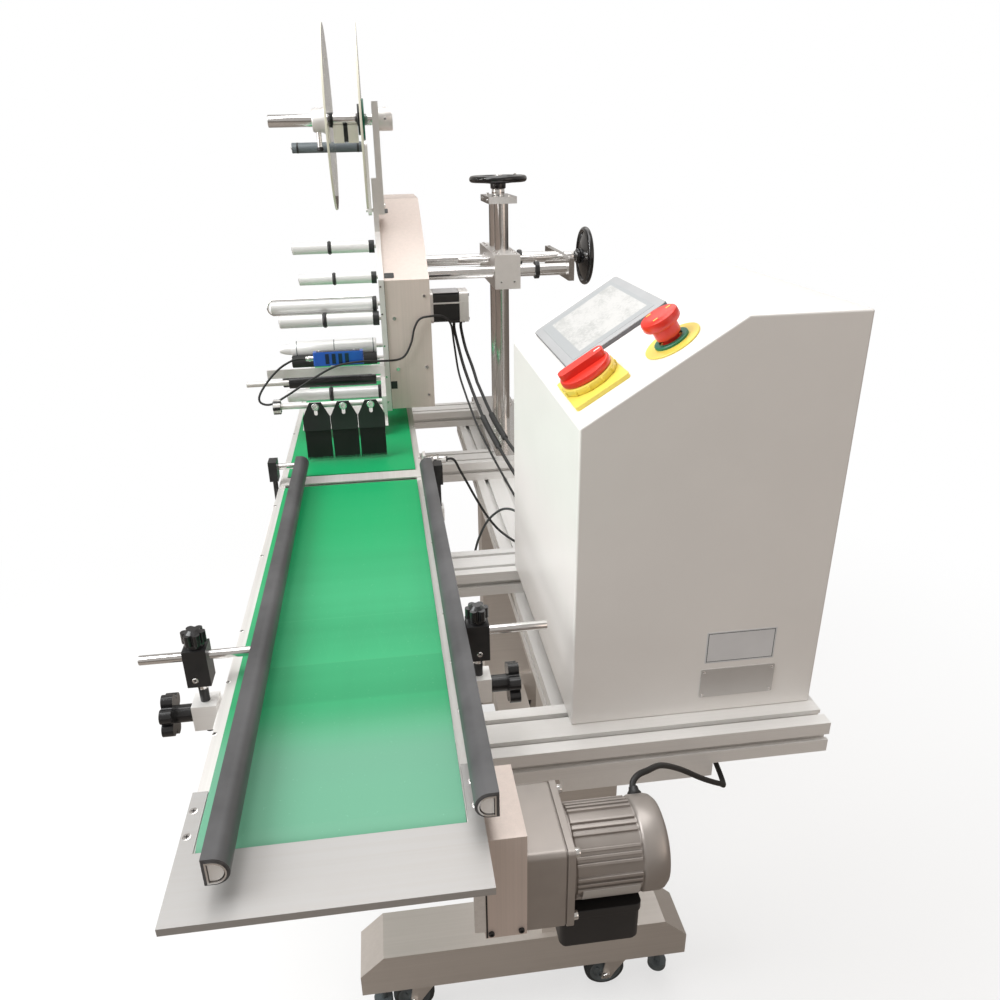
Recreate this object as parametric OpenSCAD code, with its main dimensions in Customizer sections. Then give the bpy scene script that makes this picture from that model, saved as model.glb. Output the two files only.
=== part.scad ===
// Flat surface labeling machine on a castered stand. Millimetres, +Z up.
// X runs across the belt, Y along it away from the warning plate, Z up from the floor.
// Places are measured from the belt's centre line and from the belt's near end.

/* [Conveyor] */
// Height of the belt surface above the floor
belt_top = 950; // [930:1:970]
// Width of the belt
belt_w = 215; // [200:1:230]
// Thickness of the belt
belt_t = 2; // [1.5:0.1:2.5]
// Length of the conveyor between its roller axes
conveyor_len = 1560; // [1500:10:1620]
// Diameter of the drive and tail rollers
roller_d = 56; // [50:1:58]
// Place of the sensing gap along the conveyor
gap_y = 751; // [730:1:770]
// Width of the sensing gap
gap_w = 49; // [46:0.5:51]
// Sheet thickness of the conveyor sides
side_t = 4; // [3:0.5:5]
// Depth of the warning plate beyond the belt
end_plate_len = 66; // [50:1:80]

/* [Base] */
// Height of the casters with their top plates
caster_h = 105; // [95:1:115]
// Diameter of the caster wheels
wheel_d = 75; // [68:1:78]
// Length of a foot beam across the machine
foot_len = 580; // [540:5:620]
// Width of a foot beam
foot_w = 90; // [80:1:100]
// Height of a foot beam
foot_h = 85; // [75:1:95]
// Distance between the two foot beams
foot_pitch = 760; // [720:5:800]
// Height of the top of the aluminium rails above the floor
rail_top = 840; // [825:1:855]
// Width of an aluminium rail
rail_w = 80; // [72:1:86]
// Height of an aluminium rail
rail_h = 40; // [36:1:44]

/* [Cabinet] */
// Width of the control cabinet across the machine
cab_w = 288; // [270:1:300]
// Depth of the control cabinet along the machine
cab_d = 394; // [370:1:410]
// Height of the cabinet's front face
cab_front_h = 358; // [340:1:375]
// Height of the cabinet's top
cab_h = 461; // [445:1:475]
// Flat stretch of the cabinet's top
cab_top_w = 126; // [110:1:140]
// Length of the touch screen
screen_l = 204; // [190:1:208]
// Height of the touch screen
screen_w = 132; // [124:1:140]
// Diameter of the emergency stop's mushroom head
estop_d = 40; // [36:1:44]
// Diameter of the main switch's handle ring
switch_d = 62; // [56:1:66]

/* [Guides] */
// Width of a side guide
guide_w = 20; // [18:0.5:22]
// Height of a side guide
guide_h = 25; // [22:0.5:28]
// Length of the left side guide
left_guide_len = 840; // [780:5:870]
// Length of the right side guide
right_guide_len = 760; // [740:5:780]
// Gap between a side guide and the belt
guide_lift = 13; // [10:0.5:15]
// Diameter of the guides' cross rods
rod_d = 10; // [8:0.5:12]

/* [Post] */
// Diameter of the two upright posts
post_d = 30; // [26:0.5:32]
// Height of the top of the posts above the rails
post_h = 502; // [490:1:520]
// Distance between the two upright posts
post_pitch = 86; // [80:1:92]
// Diameter of the two cross arms
arm_d = 25; // [22:0.5:28]
// Length of the cross arms from the head plate to the end plate
arm_len = 393; // [380:1:410]
// Diameter of the handwheels
handwheel_d = 125; // [110:1:135]

/* [Head] */
// Length of the label head along the machine
head_len = 450; // [440:1:465]
// Width of the label head's cover
cover_w = 84; // [80:1:86]
// Height of the gap between the belt and the label head
head_gap = 32; // [30:1:40]
// Height of the label head's near face
head_face_h = 250; // [244:1:256]
// Height of the label head's top
head_h = 379; // [370:1:390]
// Thickness of the label head's mounting plate
plate_t = 10; // [8:0.5:12]
// Length of the label head's longer rollers
guide_roller_l = 188; // [176:1:192]
// Diameter of the guide rollers
guide_roller_d = 24; // [20:0.5:25]
// Diameter of the feed roller
feed_roller_d = 31; // [28:1:32]
// Side length of the feed motor
motor_w = 60; // [56:1:62]
// Length of the feed motor
motor_l = 82; // [70:1:90]

/* [Reel] */
// Diameter of the reel's clear discs
disc_d = 320; // [300:1:330]
// Thickness of the reel's clear discs
disc_t = 4; // [3:0.5:5]
// Distance between the reel's discs
disc_gap = 56; // [50:1:60]
// Height of the reel's axis above the belt
reel_up = 555; // [550:1:570]

/* [Brush] */
// Number of wiping brushes side by side
brush_n = 3; // [2:1:4]
// Width of one wiping brush
brush_w = 46; // [44:0.5:49]
// Free length of the bristles
bristle_l = 55; // [52:0.5:57]
// Bristles across one brush
bristle_nx = 37; // [20:1:38]
// Rows of bristles through one brush
bristle_ny = 3; // [2:1:3]

/* [Drive] */
// Side length of the gear head
gear_w = 82; // [78:1:86]
// Diameter of the drive motor
drive_motor_d = 82; // [76:1:84]
// Length of the drive motor
drive_motor_l = 88; // [80:1:95]

/* [Hidden] */
$fn = 48;

// Shared fits
fit = 0.05;          // radial running clearance of a shaft in its bore
gap = 0.3;           // clearance between moving faces
cut = 1;             // overrun of every cut

// Conveyor, derived
half_belt = belt_w / 2;
side_gap = 7.5;      // belt edge to the inside of a side
side_in = half_belt + side_gap;
side_out = side_in + side_t;
side_drop = 4;        // belt top to the top of a side
side_top = belt_top - side_drop;
side_lip = 7;        // top flange turned in towards the belt
lip_t = 2;
foot_lip = 25;       // bottom flange turned in over the rails
side_cut = 34;       // corner cut off under the near end
side_near = 14;      // the sides reach this far before the drive roller's axis
side_nose = 33;      // and the right one's closed nose this far
side_nose_t = 2;
roller_y = 20;       // drive roller's axis
tail_y = roller_y + conveyor_len;
side_far = 34;
side_far_y = tail_y + side_far;
loop_r = roller_d / 2 + belt_t;
axis_z = belt_top - loop_r;
roller_shaft_d = 20;
shaft_over = 2;
bed_t = 2;
bed_z = belt_top - belt_t - bed_t;
bed_side_gap = 3;
bed_inset = 34;      // bed ends this far from the roller axes
nose_d = 10;         // round bars at the lips of the gap
bar_w = 25;          // bed cross bars
bar_h = 26;
bar_ys = [102, 240, 496, 1066, 1314];
dip_d = gap_w - 2 * (belt_t + gap) + 2 * belt_t;
dip_drop = 29.5;
dip_z = belt_top - dip_drop;
strip_w = 34;        // bright strip across the gap
strip_t = 2;
strip_gap = 2;
strip_drop = 1;      // strip's top below the belt's

// Warning plate, derived
end_t = 2;
end_over = 3;
end_wide = side_out + end_over;
end_tab_l = 72;
end_tab_gap = 1.5;
end_tab_in = half_belt + end_tab_gap;
end_lip = 5;
end_y1 = 4;
end_y0 = end_y1 - end_plate_len;

// Rails, derived
rail_ys = [236, 652, 1135, 1505];
long_near_y = 240;
bracket_h = 18;      // flat bar under the near rail
bracket_over = 14;
cab_x0 = 251;
rail_in = 12;        // rails begin inside the left side
rail_over = 6;       // and pass under the cabinet's far wall
rail_x0 = -side_out + rail_in;
rail_x1 = cab_x0 + cab_w + rail_over;
rail_z0 = rail_top - rail_h;
long_z0 = rail_z0 - rail_h;
long_x0s = [247, 335];
slot_w = 8;
slot_d = 9;
slot_in_w = 14;
slot_in_d = 4;
rail_bore = 12;

// Base, derived
base_x = 243;
foot_near_y = 515;
foot_ys = [foot_near_y, foot_near_y + foot_pitch];
foot_z0 = caster_h;
foot_z1 = caster_h + foot_h;
foot_wall = 3;
foot_chamfer = 42;
foot_end_h = 45;
tie_w = 80;
tie_h = 50;
column_w = 120;
column_d = 70;
column_x = (long_x0s[0] + long_x0s[1] + rail_w) / 2;
flange_t = 8;
flange_w = 120;
leveller_in = 32;
leveller_x = foot_len / 2 - leveller_in;
leveller_pad_d = 34;
leveller_pad_h = 12;
leveller_lift = 22;
leveller_stem_d = 12;
leveller_stem_over = 3;
leveller_hub_d = 26;
leveller_hub_h = 20;
caster_in = 112;
caster_x = foot_len / 2 - caster_in;
caster_xs = [base_x - caster_x, base_x + caster_x];
caster_plate_w = 72;
caster_plate_t = 4;
caster_race_d = 46;
caster_race_h = 12;
kingpin_d = 15;
race_z1 = caster_h - caster_plate_t - gap;
race_z0 = race_z1 - caster_race_h;
caster_trail = -24;
fork_t = 3;
wheel_w = 28;
fork_gap = 2;
fork_in = wheel_w / 2 + fork_gap;
axle_d = 8;
wheel_step = 3;
wheel_step_d = 54;
wheel_hub_w_d = 18;
fork_up = 4;
fork_down = 12;
fork_w = 34;

// Cabinet, derived
cab_y0 = 237;
cab_z0 = rail_top;
cab_wall = 1.5;
cab_x1 = cab_x0 + cab_w;
cab_slope_x = cab_x1 - cab_top_w;
slope_dx = cab_slope_x - cab_x0;
slope_dz = cab_h - cab_front_h;
slope_len = sqrt(slope_dx * slope_dx + slope_dz * slope_dz);
slope_a = atan2(slope_dz, slope_dx);
screen_in = 38;
screen_y0 = cab_y0 + cab_d - screen_l - screen_in;
screen_u0 = 30;
screen_t = 6;
estop_up = 127.7;
estop_in = 54;
estop_y = cab_y0 + estop_in;
estop_stem_d = 24;
estop_stem_h = 14;
estop_head_h = 14;
estop_top_d = 32;
estop_ring_d = 60;
estop_ring_t = 2;
estop_travel = 4;
switch_up = 40.9;
switch_in = 84;
switch_y = cab_y0 + switch_in;
switch_plate_w = 64;
switch_plate_l = 92;
switch_plate_t = 5;
switch_ring_h = 16;
switch_handle_h = 8;
switch_handle_in = 4;
label_plate_t = 0.8;
label_plate_w = 88;
label_plate_h = 38;
label_plate_in = 50;
label_plate_up = 22;

// Guides, derived
guide_z0 = belt_top + guide_lift;
rod_z = guide_z0 + guide_h / 2;
left_guide_x = -89;
right_guide_gap = 5.5;
right_guide_x = half_belt + right_guide_gap;
left_guide_y = -44;
right_guide_y = -10;
guide_wall = 3;
guide_skin = 4.5;
guide_slot = 9;
block_w = 24;
block_h = 43;
block_up = 12;
block_z1 = rod_z + block_up;
side_bar_t = 14;
side_bar_h = 22;
clamp_drop = 60;
side_bar_z = belt_top - clamp_drop;
side_bar_nose = 12;
clamp_w = 26;
clamp_h = 30;
clamp_z0 = belt_top - clamp_drop;
block_x = side_out + side_bar_t + clamp_w / 2;
bracket_y = 242;
post_ins = [12, 28];    // far brackets this far inside the guides' far ends
post_ys = [left_guide_y + left_guide_len - post_ins[0], right_guide_y + right_guide_len - post_ins[1]];
side_bar_over = 16;
side_bar_ys = [[190, 270], [575, post_ys[0] + side_bar_over]];
post_w = 14;
post_gap = 1;
post_xs = [side_out + side_bar_t / 2, right_guide_x + guide_w + post_gap + post_w / 2]; // left and right
post_l = 24;
post_z0 = belt_top + side_drop;
post_rod_d = 8;
rod_reaches = [204, 222];
stem_over = 8;
stem_z0 = clamp_z0 - stem_over;
knob_small = 25;
knob_big = 48;
knob_h = 12;
knob_lobe_share = 0.32;
knob_lobes = 6;
knob_stem_d = 8;
knob_stem_l = 6;
knob_neck = 5;
knob_hub_d = 19;
side_knob_collar = 14;

// Post, derived
post_x = 339;
post_y = 1362;
post_top = rail_top + post_h;
post_plate_t = 12;
post_plate_w = 100;
cap_w = 60;
cap_over = 25;
cap_l = post_pitch + 2 * cap_over;
cap_t = 14;
screw_d = 16;
block_wx = 54;
block_wy = 255;
block_wz = 70;
arm_z = 1210;
arm_ys = [1255, 1470];
cross_screw_y = 1344;
cross_screw_d = 12;
cross_screw_up = 14;
cross_screw_z = arm_z + cross_screw_up;
cross_screw_in = 66;
end_w = 46;
end_block_t = 12;
end_block_over = 20;
wheel_rim_d = 14;
wheel_hub_d = 34;
wheel_hub_h = 28;
wheel_spoke_d = 10;
spoke_turn = 30;     // first spoke's angle
wheel_boss = 12;     // bright boss under the height wheel
wheel_boss_over = 12;
cross_boss_over = 10;
grip_d = 12;
grip_h = 26;
collar_over = 10;
collar_d = arm_d + collar_over;
collar_in = 70;      // collars this far from the arms' ends
collar_w = 8;

// Head, derived
head_x0 = 67;
head_y0 = 1040;
head_z0 = belt_top + head_gap;
plate_x1 = head_x0 + plate_t;
cover_x1 = plate_x1 + cover_w;
cover_in = 3;
cover_wall = 2;
head_chamfer_run = 259;
cover_shrink = 0.4;  // share of the wall that the slope's ends move in by
tab_y = 1215;
tab_w = 60;
reel_arm_t = 12;
reel_arm_w = 40;
reel_arm_drop = 26;  // arm's foot below the head's top
reel_arm_over = 30;  // arm's end above the reel's axis
tab_top = 40;        // plate's tab above the head's top
spindle_in = 6;
spindle_step = 2;
spindle_l = 184;
hub_step = 8;
hub_end = 30;
hub_knob_in = 20;
hub_knob_z = [48, 20];
hub_knob_d = 10;
reel_z = belt_top + reel_up;
hub_d = 40;
hub_l = 26;
pin_d = 8;
roller_gap = 3;
roller_x1 = head_x0 - roller_gap;
short_roller_l = 176;
collar_at = 0.55;    // share of a guide roller's length to its middle collar
collar_step = 3;
collar_bore = 22;
roller_bore = pin_d + 2 * fit;
guide_roller_ys = [1075, 1085, 1440, 1360];
guide_roller_ups = [63, 205, 232, 309];
guide_roller_ls = [guide_roller_l, guide_roller_l, short_roller_l, short_roller_l];
feed_y = 1150;
feed_up = 138;
feed_z = belt_top + feed_up;
feed_gap = 13;
feed_x1 = head_x0 - feed_gap;
feed_l = 168;
feed_tip_l = 24;     // turned end of the feed roller, tapering
feed_tip_d = 14;
feed_tip_d1 = 23;
nip_d = 24;
nip_y = 1132;
nip_up = 116.8;
nip_z = belt_top + nip_up;
rewind_y = 1100;
rewind_up = 230;
rewind_z = belt_top + rewind_up;
rewind_d = 22;
rewind_l = 206;
spool_end = 3;
spool_bore = 20;
clip_ring_x = [14, 6]; // ring's two faces before the plate
clip_in = 12;
clip_d = 4;
clip_h = 31;
clip_end_d = 5;      // cross piece at the clip's tip
clip_ring_d = 29;
dancer_pivot_y = 1445;
dancer_pivot_drop = 33; // pivot below the head's top
dancer_pivot_z = head_z0 + head_h - dancer_pivot_drop;
dancer_y = 1425;
dancer_rise = 131;
dancer_z = dancer_pivot_z + dancer_rise;
dancer_arm_w = 22;
dancer_arm_t = 8;
dancer_roller_d = 21;
dancer_roller_l = 152;
spindle_d = 20;
core_d = 50;
spindle_bore_d = spindle_d + 2 * fit;
reel_x1 = head_x0 - 8;
peel_t = 3;
peel_w = 160;
peel_y0 = 985;
peel_y1 = 1066;
peel_up = [20, 50];
peel_z0 = belt_top + peel_up[0];
peel_z1 = belt_top + peel_up[1];
peel_edge = 1;
peel_bend = 10;
peel_bar_up = 16;
peel_bar_y = [40, 20]; // bracket before and past the head's near face
peel_bar_t = 8;
brush_y = 862;
knob_rod_over = 36;  // the brush rod reaches this far beyond the brushes
knob_rod_d = 24;
brush_t = 3;
brush_lift = 3;      // bristle tips above the belt
brush_z0 = belt_top + brush_lift + bristle_l;
brush_h = 50;
brush_z1 = brush_z0 + brush_h;
brush_gap = 1;
brush_total = brush_n * brush_w + (brush_n - 1) * brush_gap;
brush_x1 = 62;
brush_x0 = brush_x1 - brush_total;
ferrule_h = 24;
ferrule_t = 8;
carrier_d = 10;
brush_slot_w = 6;
brush_slot_l = 12;
brush_stem_d = 5;
brush_screw_d = 9;
brush_screw_h = 3;
carrier_gap = 2;
carrier_y = brush_y + ferrule_t + carrier_d / 2 + carrier_gap;
carrier_drop = 8;
carrier_z = brush_z1 - carrier_drop;
brush_slant = [0.28, 0.72]; // shares of a brush's width where its top ends
backing_t = 4;
sensor_bar_h = 16;
sensor_bar_t = 4;
sensor_bar_y = 1010;
sensor_bar_up = 132;
sensor_bar_z = belt_top + sensor_bar_up;
sensor_bar_l = 216;
sensor_joint = 24;   // block that clamps the flat bar to the head's bracket
sensor_x0 = -62;
sensor_l = 92;
sensor_h = 25;
sensor_w = 16;
sensor_lift = 5;
plug_d = 9;
plug_l = 14;
press_y = 1032;      // black sleeve on a rod behind the peel plate
press_up = 101;
press_z = belt_top + press_up;
press_d = 22;
press_l = 163;
press_rod_d = 10;
press_rod_l = 242;
press_gap = 17;
press_x1 = head_x0 - press_gap;
motor_y = 1160;
motor_z = 1160;
motor_cap = 12;      // bright end of the feed motor
motor_back = 18;     // and its back end
motor_step = 1;
motor_gland_h = 2;
motor_gland_d = 10;

// Drive, derived
gear_y = 36;
gear_drop = 81;
gear_z = belt_top - gear_drop;
guard_x0 = side_out;
guard_w = 36;
guard_x1 = guard_x0 + guard_w;
guard_t = 1.5;
guard_y0 = -10;
guard_y1 = 74;
guard_z0 = 828;
guard_z1 = 940;
gear_l = 34;
flange_d = 8;
pulley_d = 30;
drive_belt_t = 2.5;
drive_belt_w = 12;
shaft_d = 14;
drive_in = 14;
drive_x0 = guard_x0 + drive_in;
guard_bore_d = 16;
term_in = 33;
term_x0 = guard_x1 + term_in;
term_z0 = 780;
term_l = 74;
term_w = 62;
term_h = 46;

// Sensor and leads
psensor_in = 13;     // sensor past the right guide's far end
psensor_y = right_guide_y + right_guide_len + psensor_in;
psensor_up = 28;
psensor_z = belt_top + psensor_up;
psensor_d = 12;
psensor_nut_d = 18;
psensor_plate_t = 5;
psensor_foot = 30;
lead_d = 6;
thin_lead_d = 4;
lead_sides = 8;
// Glands on the cabinet's far face, as places in X and Z, and the one under it
cab_y1 = cab_y0 + cab_d;
gland_d = 14;
gland_l = 12;
glands = [[305, 900], [342, 906], [288, 878], [290, 850], [270, 902]];
gland_under = [432, 420];
// Routes of the leads, in their own chosen points
motor_lead_a = [[215, 1160, 1130], [215, 1160, 1116], [219, 1142, 1086], [226, 1100, 1048], [236, 1040,
    1012],
    [248, 960, 978], [262, 880, 954], [276, 790, 936], [293, 710, 918],
    [304, 670, 904], [305, 655, 900], [305, 643.3, 900]];
motor_lead_b = [[229, 1160, 1130], [229, 1160, 1116], [234, 1132, 1078], [248, 1062, 1024], [262, 970, 988],
    [274, 880, 970], [294, 790, 952], [322, 710, 932],
    [340, 670, 910], [342, 655, 906], [342, 643.3, 906]];
label_lead = [[-76, 1010, 1100], [-86, 1010, 1100], [-100, 1006, 1099], [-124, 1000, 1087], [-147, 990,
    1066],
    [-163, 980, 1044], [-162, 975, 1031], [-143, 972, 1028], [-113, 976, 1042], [-67, 986, 1067], [-22,
        994, 1087],
    [22, 996, 1093], [58, 1010, 1089], [91, 1033, 1084], [108, 1033, 1092], [121, 1033, 1116], [128,
        1033, 1142],
    [139, 1033, 1159], [158, 1035, 1163], [184, 1056, 1158], [202, 1088, 1136], [208, 1100, 1096], [214,
        1082, 1040],
    [224, 1036, 1000], [236, 958, 964], [250, 878, 938], [264, 788, 918], [280, 712, 896],
    [287, 670, 882], [288, 655, 878], [288, 643.3, 878]];
product_lead = [[158, psensor_y, psensor_z], [165, psensor_y, psensor_z], [172, 764, 973], [180, 762,
    958], [192, 758, 934], [206, 752, 906], [222, 744, 878],
    [240, 726, 858], [262, 700, 848], [282, 672, 847], [290, 656, 850], [290, 643.3, 850]];
earth_lead = [[270, 643.3, 902], [270, 656, 902], [262, 688, 908], [244, 712, 902], [222, 722, 880],
    [206, 724, 848],
    [198, 725, 820], [194, 725, 802], [198, 725, 793], [206.7, 725, 792]];
drive_lead = [[270, 66.8, 896.7], [270, 73.2, 902.4], [277, 80, 905], [290, 90, 900], [314, 116, 880],
    [348, 148, 842], [384, 168, 806],
    [412, 182, 782], [422, 194, 772], [430, 250, 768], [432, 320, 768], [433, 390, 780], [432, 418, 800],
    [432, 420, 812], [432, 420, 827.7]];

// Place of the whole part: the origin is under the middle of its outer box
x_min = -rod_reaches[0];
wheel_x0 = plate_x1 + arm_len + end_block_t + wheel_hub_h;
x_max = max(wheel_x0 + wheel_hub_h, rail_x1);
shift = [-(x_min + x_max) / 2, -(end_y0 + side_far_y) / 2, 0];

// Plain shapes between two places
module box(a, b) translate(a) cube(b - a);
module rod_x(x0, x1, y, z, d) translate([x0, y, z]) rotate([0, 90, 0]) cylinder(d = d, h = x1 - x0);
module rod_y(x, y0, y1, z, d) translate([x, y0, z]) rotate([-90, 0, 0]) cylinder(d = d, h = y1 - y0);
module rod_z(x, y, z0, z1, d) translate([x, y, z0]) cylinder(d = d, h = z1 - z0);
module ring_x(x0, x1, y, z, d, bore) difference() {
    rod_x(x0, x1, y, z, d);
    rod_x(x0 - cut, x1 + cut, y, z, bore);
}
// A sheet outline in Y and Z, made solid from x0 to x1
module yz_plate(x0, x1) translate([x0, 0, 0]) rotate([90, 0,
    90]) linear_extrude(height = x1 - x0) children();
// An outline in X and Z, made solid from y0 to y1
module xz_plate(y0, y1) translate([0, y1, 0]) rotate([90, 0,
    0]) linear_extrude(height = y1 - y0) children();

// Aluminium rail section, long side flat, with slots in its faces
module rail_slot() {
    translate([0, -slot_d / 2]) square([slot_w, slot_d + cut], center = true);
    translate([0, -slot_d + slot_in_d / 2]) square([slot_in_w, slot_in_d], center = true);
}
module rail_section() difference() {
    square([rail_w, rail_h], center = true);
    for (sx = [-1, 1], sy = [0, 180]) translate([sx * rail_w / 4, 0]) rotate(sy) translate([0,
        rail_h / 2]) rail_slot();
    for (sx = [-90, 90]) rotate(sx) translate([0, rail_w / 2]) rail_slot();
    circle(d = rail_bore);
}

// Base
module foot_outline(g) polygon([
    [-foot_len / 2 + g, foot_z0 + g], [foot_len / 2 - g, foot_z0 + g], [foot_len / 2 - g,
        foot_z0 + foot_end_h],
    [foot_len / 2 - foot_chamfer, foot_z1 - g], [-foot_len / 2 + foot_chamfer, foot_z1 - g],
    [-foot_len / 2 + g, foot_z0 + foot_end_h]]);
module foot_beam(y) translate([base_x, 0, 0]) difference() {
    union() {
        xz_plate(y - foot_w / 2, y + foot_w / 2) foot_outline(0);
        for (s = [-1, 1]) rod_z(s * leveller_x, y, foot_z0 - leveller_hub_h, foot_z0, leveller_hub_d);
    }
    xz_plate(y - foot_w / 2 + foot_wall, y + foot_w / 2 - foot_wall) foot_outline(foot_wall);
    for (s = [-1, 1]) rod_z(s * leveller_x, y, foot_z0 - leveller_hub_h - cut, foot_z0 + foot_wall + cut,
        leveller_stem_d + 2 * fit);
}
module tube_box(a, b) difference() {
    box(a, b);
    box(a + [foot_wall, foot_wall, foot_wall], b - [foot_wall, foot_wall, foot_wall]);
}
module base_frame() color("silver") {
    for (y = foot_ys) {
        foot_beam(y);
        tube_box([column_x - column_w / 2, y - column_d / 2, foot_z1],
            [column_x + column_w / 2, y + column_d / 2, long_z0 - flange_t]);
        box([long_x0s[0], y - flange_w / 2, long_z0 - flange_t], [long_x0s[1] + rail_w, y + flange_w / 2,
            long_z0]);
    }
    for (i = [0 : 3]) translate(caster_at(i)) {
        box([-caster_plate_w / 2, -caster_plate_w / 2, caster_h - caster_plate_t], [caster_plate_w / 2,
            caster_plate_w / 2, caster_h]);
        rod_z(0, 0, caster_h - caster_plate_t - caster_race_h / 2, caster_h - caster_plate_t, kingpin_d);
    }
    tube_box([column_x - tie_w / 2, foot_ys[0] + foot_w / 2, foot_z0 + foot_wall],
        [column_x + tie_w / 2, foot_ys[1] - foot_w / 2, foot_z0 + foot_wall + tie_h]);
}
module levelling_feet() color("dimgray")
    for (x = [base_x - leveller_x, base_x + leveller_x], y = foot_ys) {
        rod_z(x, y, leveller_lift, leveller_lift + leveller_pad_h, leveller_pad_d);
        rod_z(x, y, leveller_lift + leveller_pad_h,
            foot_z0 + foot_wall + leveller_lift + leveller_stem_over, leveller_stem_d);
    }
function caster_at(i) = [caster_xs[i % 2], foot_ys[floor(i / 2)], 0];
module caster_fork(i) color("gray") translate(caster_at(i)) {
    difference() {
        rod_z(0, 0, race_z0, race_z1, caster_race_d);
        rod_z(0, 0, race_z1 - caster_race_h / 2 - gap, race_z1 + cut, kingpin_d + 2 * fit);
    }
    box([-caster_race_d / 2, -fork_in - fork_t, race_z0 - fork_t], [caster_race_d / 2, fork_in + fork_t,
        race_z0]);
    for (s = [-1, 1]) xz_side(s) fork_outline();
    rod_y(caster_trail, -fork_in - fork_t - fork_gap, fork_in + fork_t + fork_gap, wheel_d / 2, axle_d);
}
module xz_side(s) translate([0, s > 0 ? fork_in + fork_t : -fork_in, 0]) rotate([90, 0, 0])
    linear_extrude(height = fork_t) children();
module fork_outline() polygon([
    [-caster_race_d / 2, race_z0], [caster_race_d / 2, race_z0], [caster_race_d / 2, race_z0 - fork_t],
    [caster_trail + fork_w / 2, wheel_d / 2 + fork_up], [caster_trail + fork_w / 4,
        wheel_d / 2 - fork_down],
    [caster_trail - fork_w / 4, wheel_d / 2 - fork_down]]);
module caster_wheel(i) color([0.16, 0.17, 0.18]) translate(caster_at(i)) difference() {
    union() {
        rod_y(caster_trail, -wheel_w / 2 + wheel_step, wheel_w / 2 - wheel_step, wheel_d / 2, wheel_d);
        rod_y(caster_trail, -wheel_w / 2, wheel_w / 2, wheel_d / 2, wheel_step_d);
        rod_y(caster_trail, -fork_in + gap, fork_in - gap, wheel_d / 2, wheel_hub_w_d);
    }
    rod_y(caster_trail, -wheel_w, wheel_w, wheel_d / 2, axle_d + 2 * fit);
}

// Rails
module cross_rails() color("lightgray") for (y = rail_ys)
    translate([rail_x0, y, rail_top - rail_h / 2]) rotate([90, 0,
        90]) linear_extrude(height = rail_x1 - rail_x0) rail_section();
module long_rails() color("lightgray") {
    for (x = long_x0s) translate([x + rail_w / 2, rail_ys[3] + rail_w / 2,
        long_z0 + rail_h / 2]) rotate([90, 0, 0])
        linear_extrude(height = rail_ys[3] + rail_w / 2 - long_near_y) rail_section();
    box([long_x0s[0] - bracket_over, rail_ys[0] - rail_w / 2, rail_z0 - bracket_h],
        [long_x0s[1] + rail_w - bracket_over / 2, long_near_y, rail_z0]);
}

// Conveyor
module side_outline(s) scale([s, 1]) polygon([
    [side_in - foot_lip, rail_top], [side_out, rail_top], [side_out, side_top], [side_in - side_lip,
        side_top],
    [side_in - side_lip, side_top - lip_t], [side_in, side_top - lip_t], [side_in, rail_top + side_t],
    [side_in - foot_lip, rail_top + side_t]]);
module conveyor_side(s) color("silver") difference() {
    union() {
        xz_plate(roller_y - side_near, side_far_y) side_outline(s);
        if (s > 0) {
            box([half_belt + side_nose_t, roller_y - side_nose, rail_top], [side_out,
                roller_y - side_nose + side_nose_t, side_top]);
            box([side_in, roller_y - side_nose, rail_top], [side_out, roller_y - side_near, side_top]);
        }
    }
    for (y = [roller_y, tail_y]) rod_x(-side_out - cut, side_out + cut, y, axis_z,
        roller_shaft_d + 2 * fit);
    yz_plate(s > 0 ? side_in - foot_lip - cut : -side_out - cut, s > 0 ? side_in : foot_lip + cut - side_in)
        translate([roller_y - side_near, rail_top]) polygon([[-cut, -cut], [side_cut, -cut], [-cut,
            side_cut]]);
}
module conveyor_side_left() conveyor_side(-1);
module conveyor_side_right() conveyor_side(1);
module slider_bed() color("gainsboro") {
    box([-half_belt + bed_side_gap, roller_y + bed_inset, bed_z],
        [half_belt - bed_side_gap, gap_y - belt_t - gap - nose_d / 2, bed_z + bed_t]);
    box([-half_belt + bed_side_gap, gap_y + gap_w + belt_t + gap + nose_d / 2, bed_z],
        [half_belt - bed_side_gap, tail_y - bed_inset, bed_z + bed_t]);
    for (y = [gap_y - belt_t - gap - nose_d / 2, gap_y + gap_w + belt_t + gap + nose_d / 2])
        rod_x(-half_belt + bed_side_gap, half_belt - bed_side_gap, y, bed_z + bed_t - nose_d / 2, nose_d);
    for (y = bar_ys) {
        box([-side_in, y, bed_z - bar_h], [side_in, y + bar_w, side_top - lip_t]);
        box([side_lip - side_in, y, side_top - lip_t], [side_in - side_lip, y + bar_w, bed_z]);
    }
    rod_x(side_lip - side_in, side_in - side_lip, gap_y + gap_w / 2, dip_z, dip_d);
    rod_x(-side_in, side_in, gap_y + gap_w / 2, dip_z, roller_shaft_d);
    box([-side_in, gap_y + gap_w - strip_w, belt_top - strip_t - strip_drop],
        [side_in, gap_y + gap_w - strip_gap, belt_top - strip_drop]);
    for (s = [-1, 1]) box([s > 0 ? half_belt + strip_drop : -side_in, gap_y + strip_gap, side_top],
        [s > 0 ? side_in : -half_belt - strip_drop, gap_y + gap_w - strip_gap,
            belt_top - strip_t - strip_drop]);
}
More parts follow.
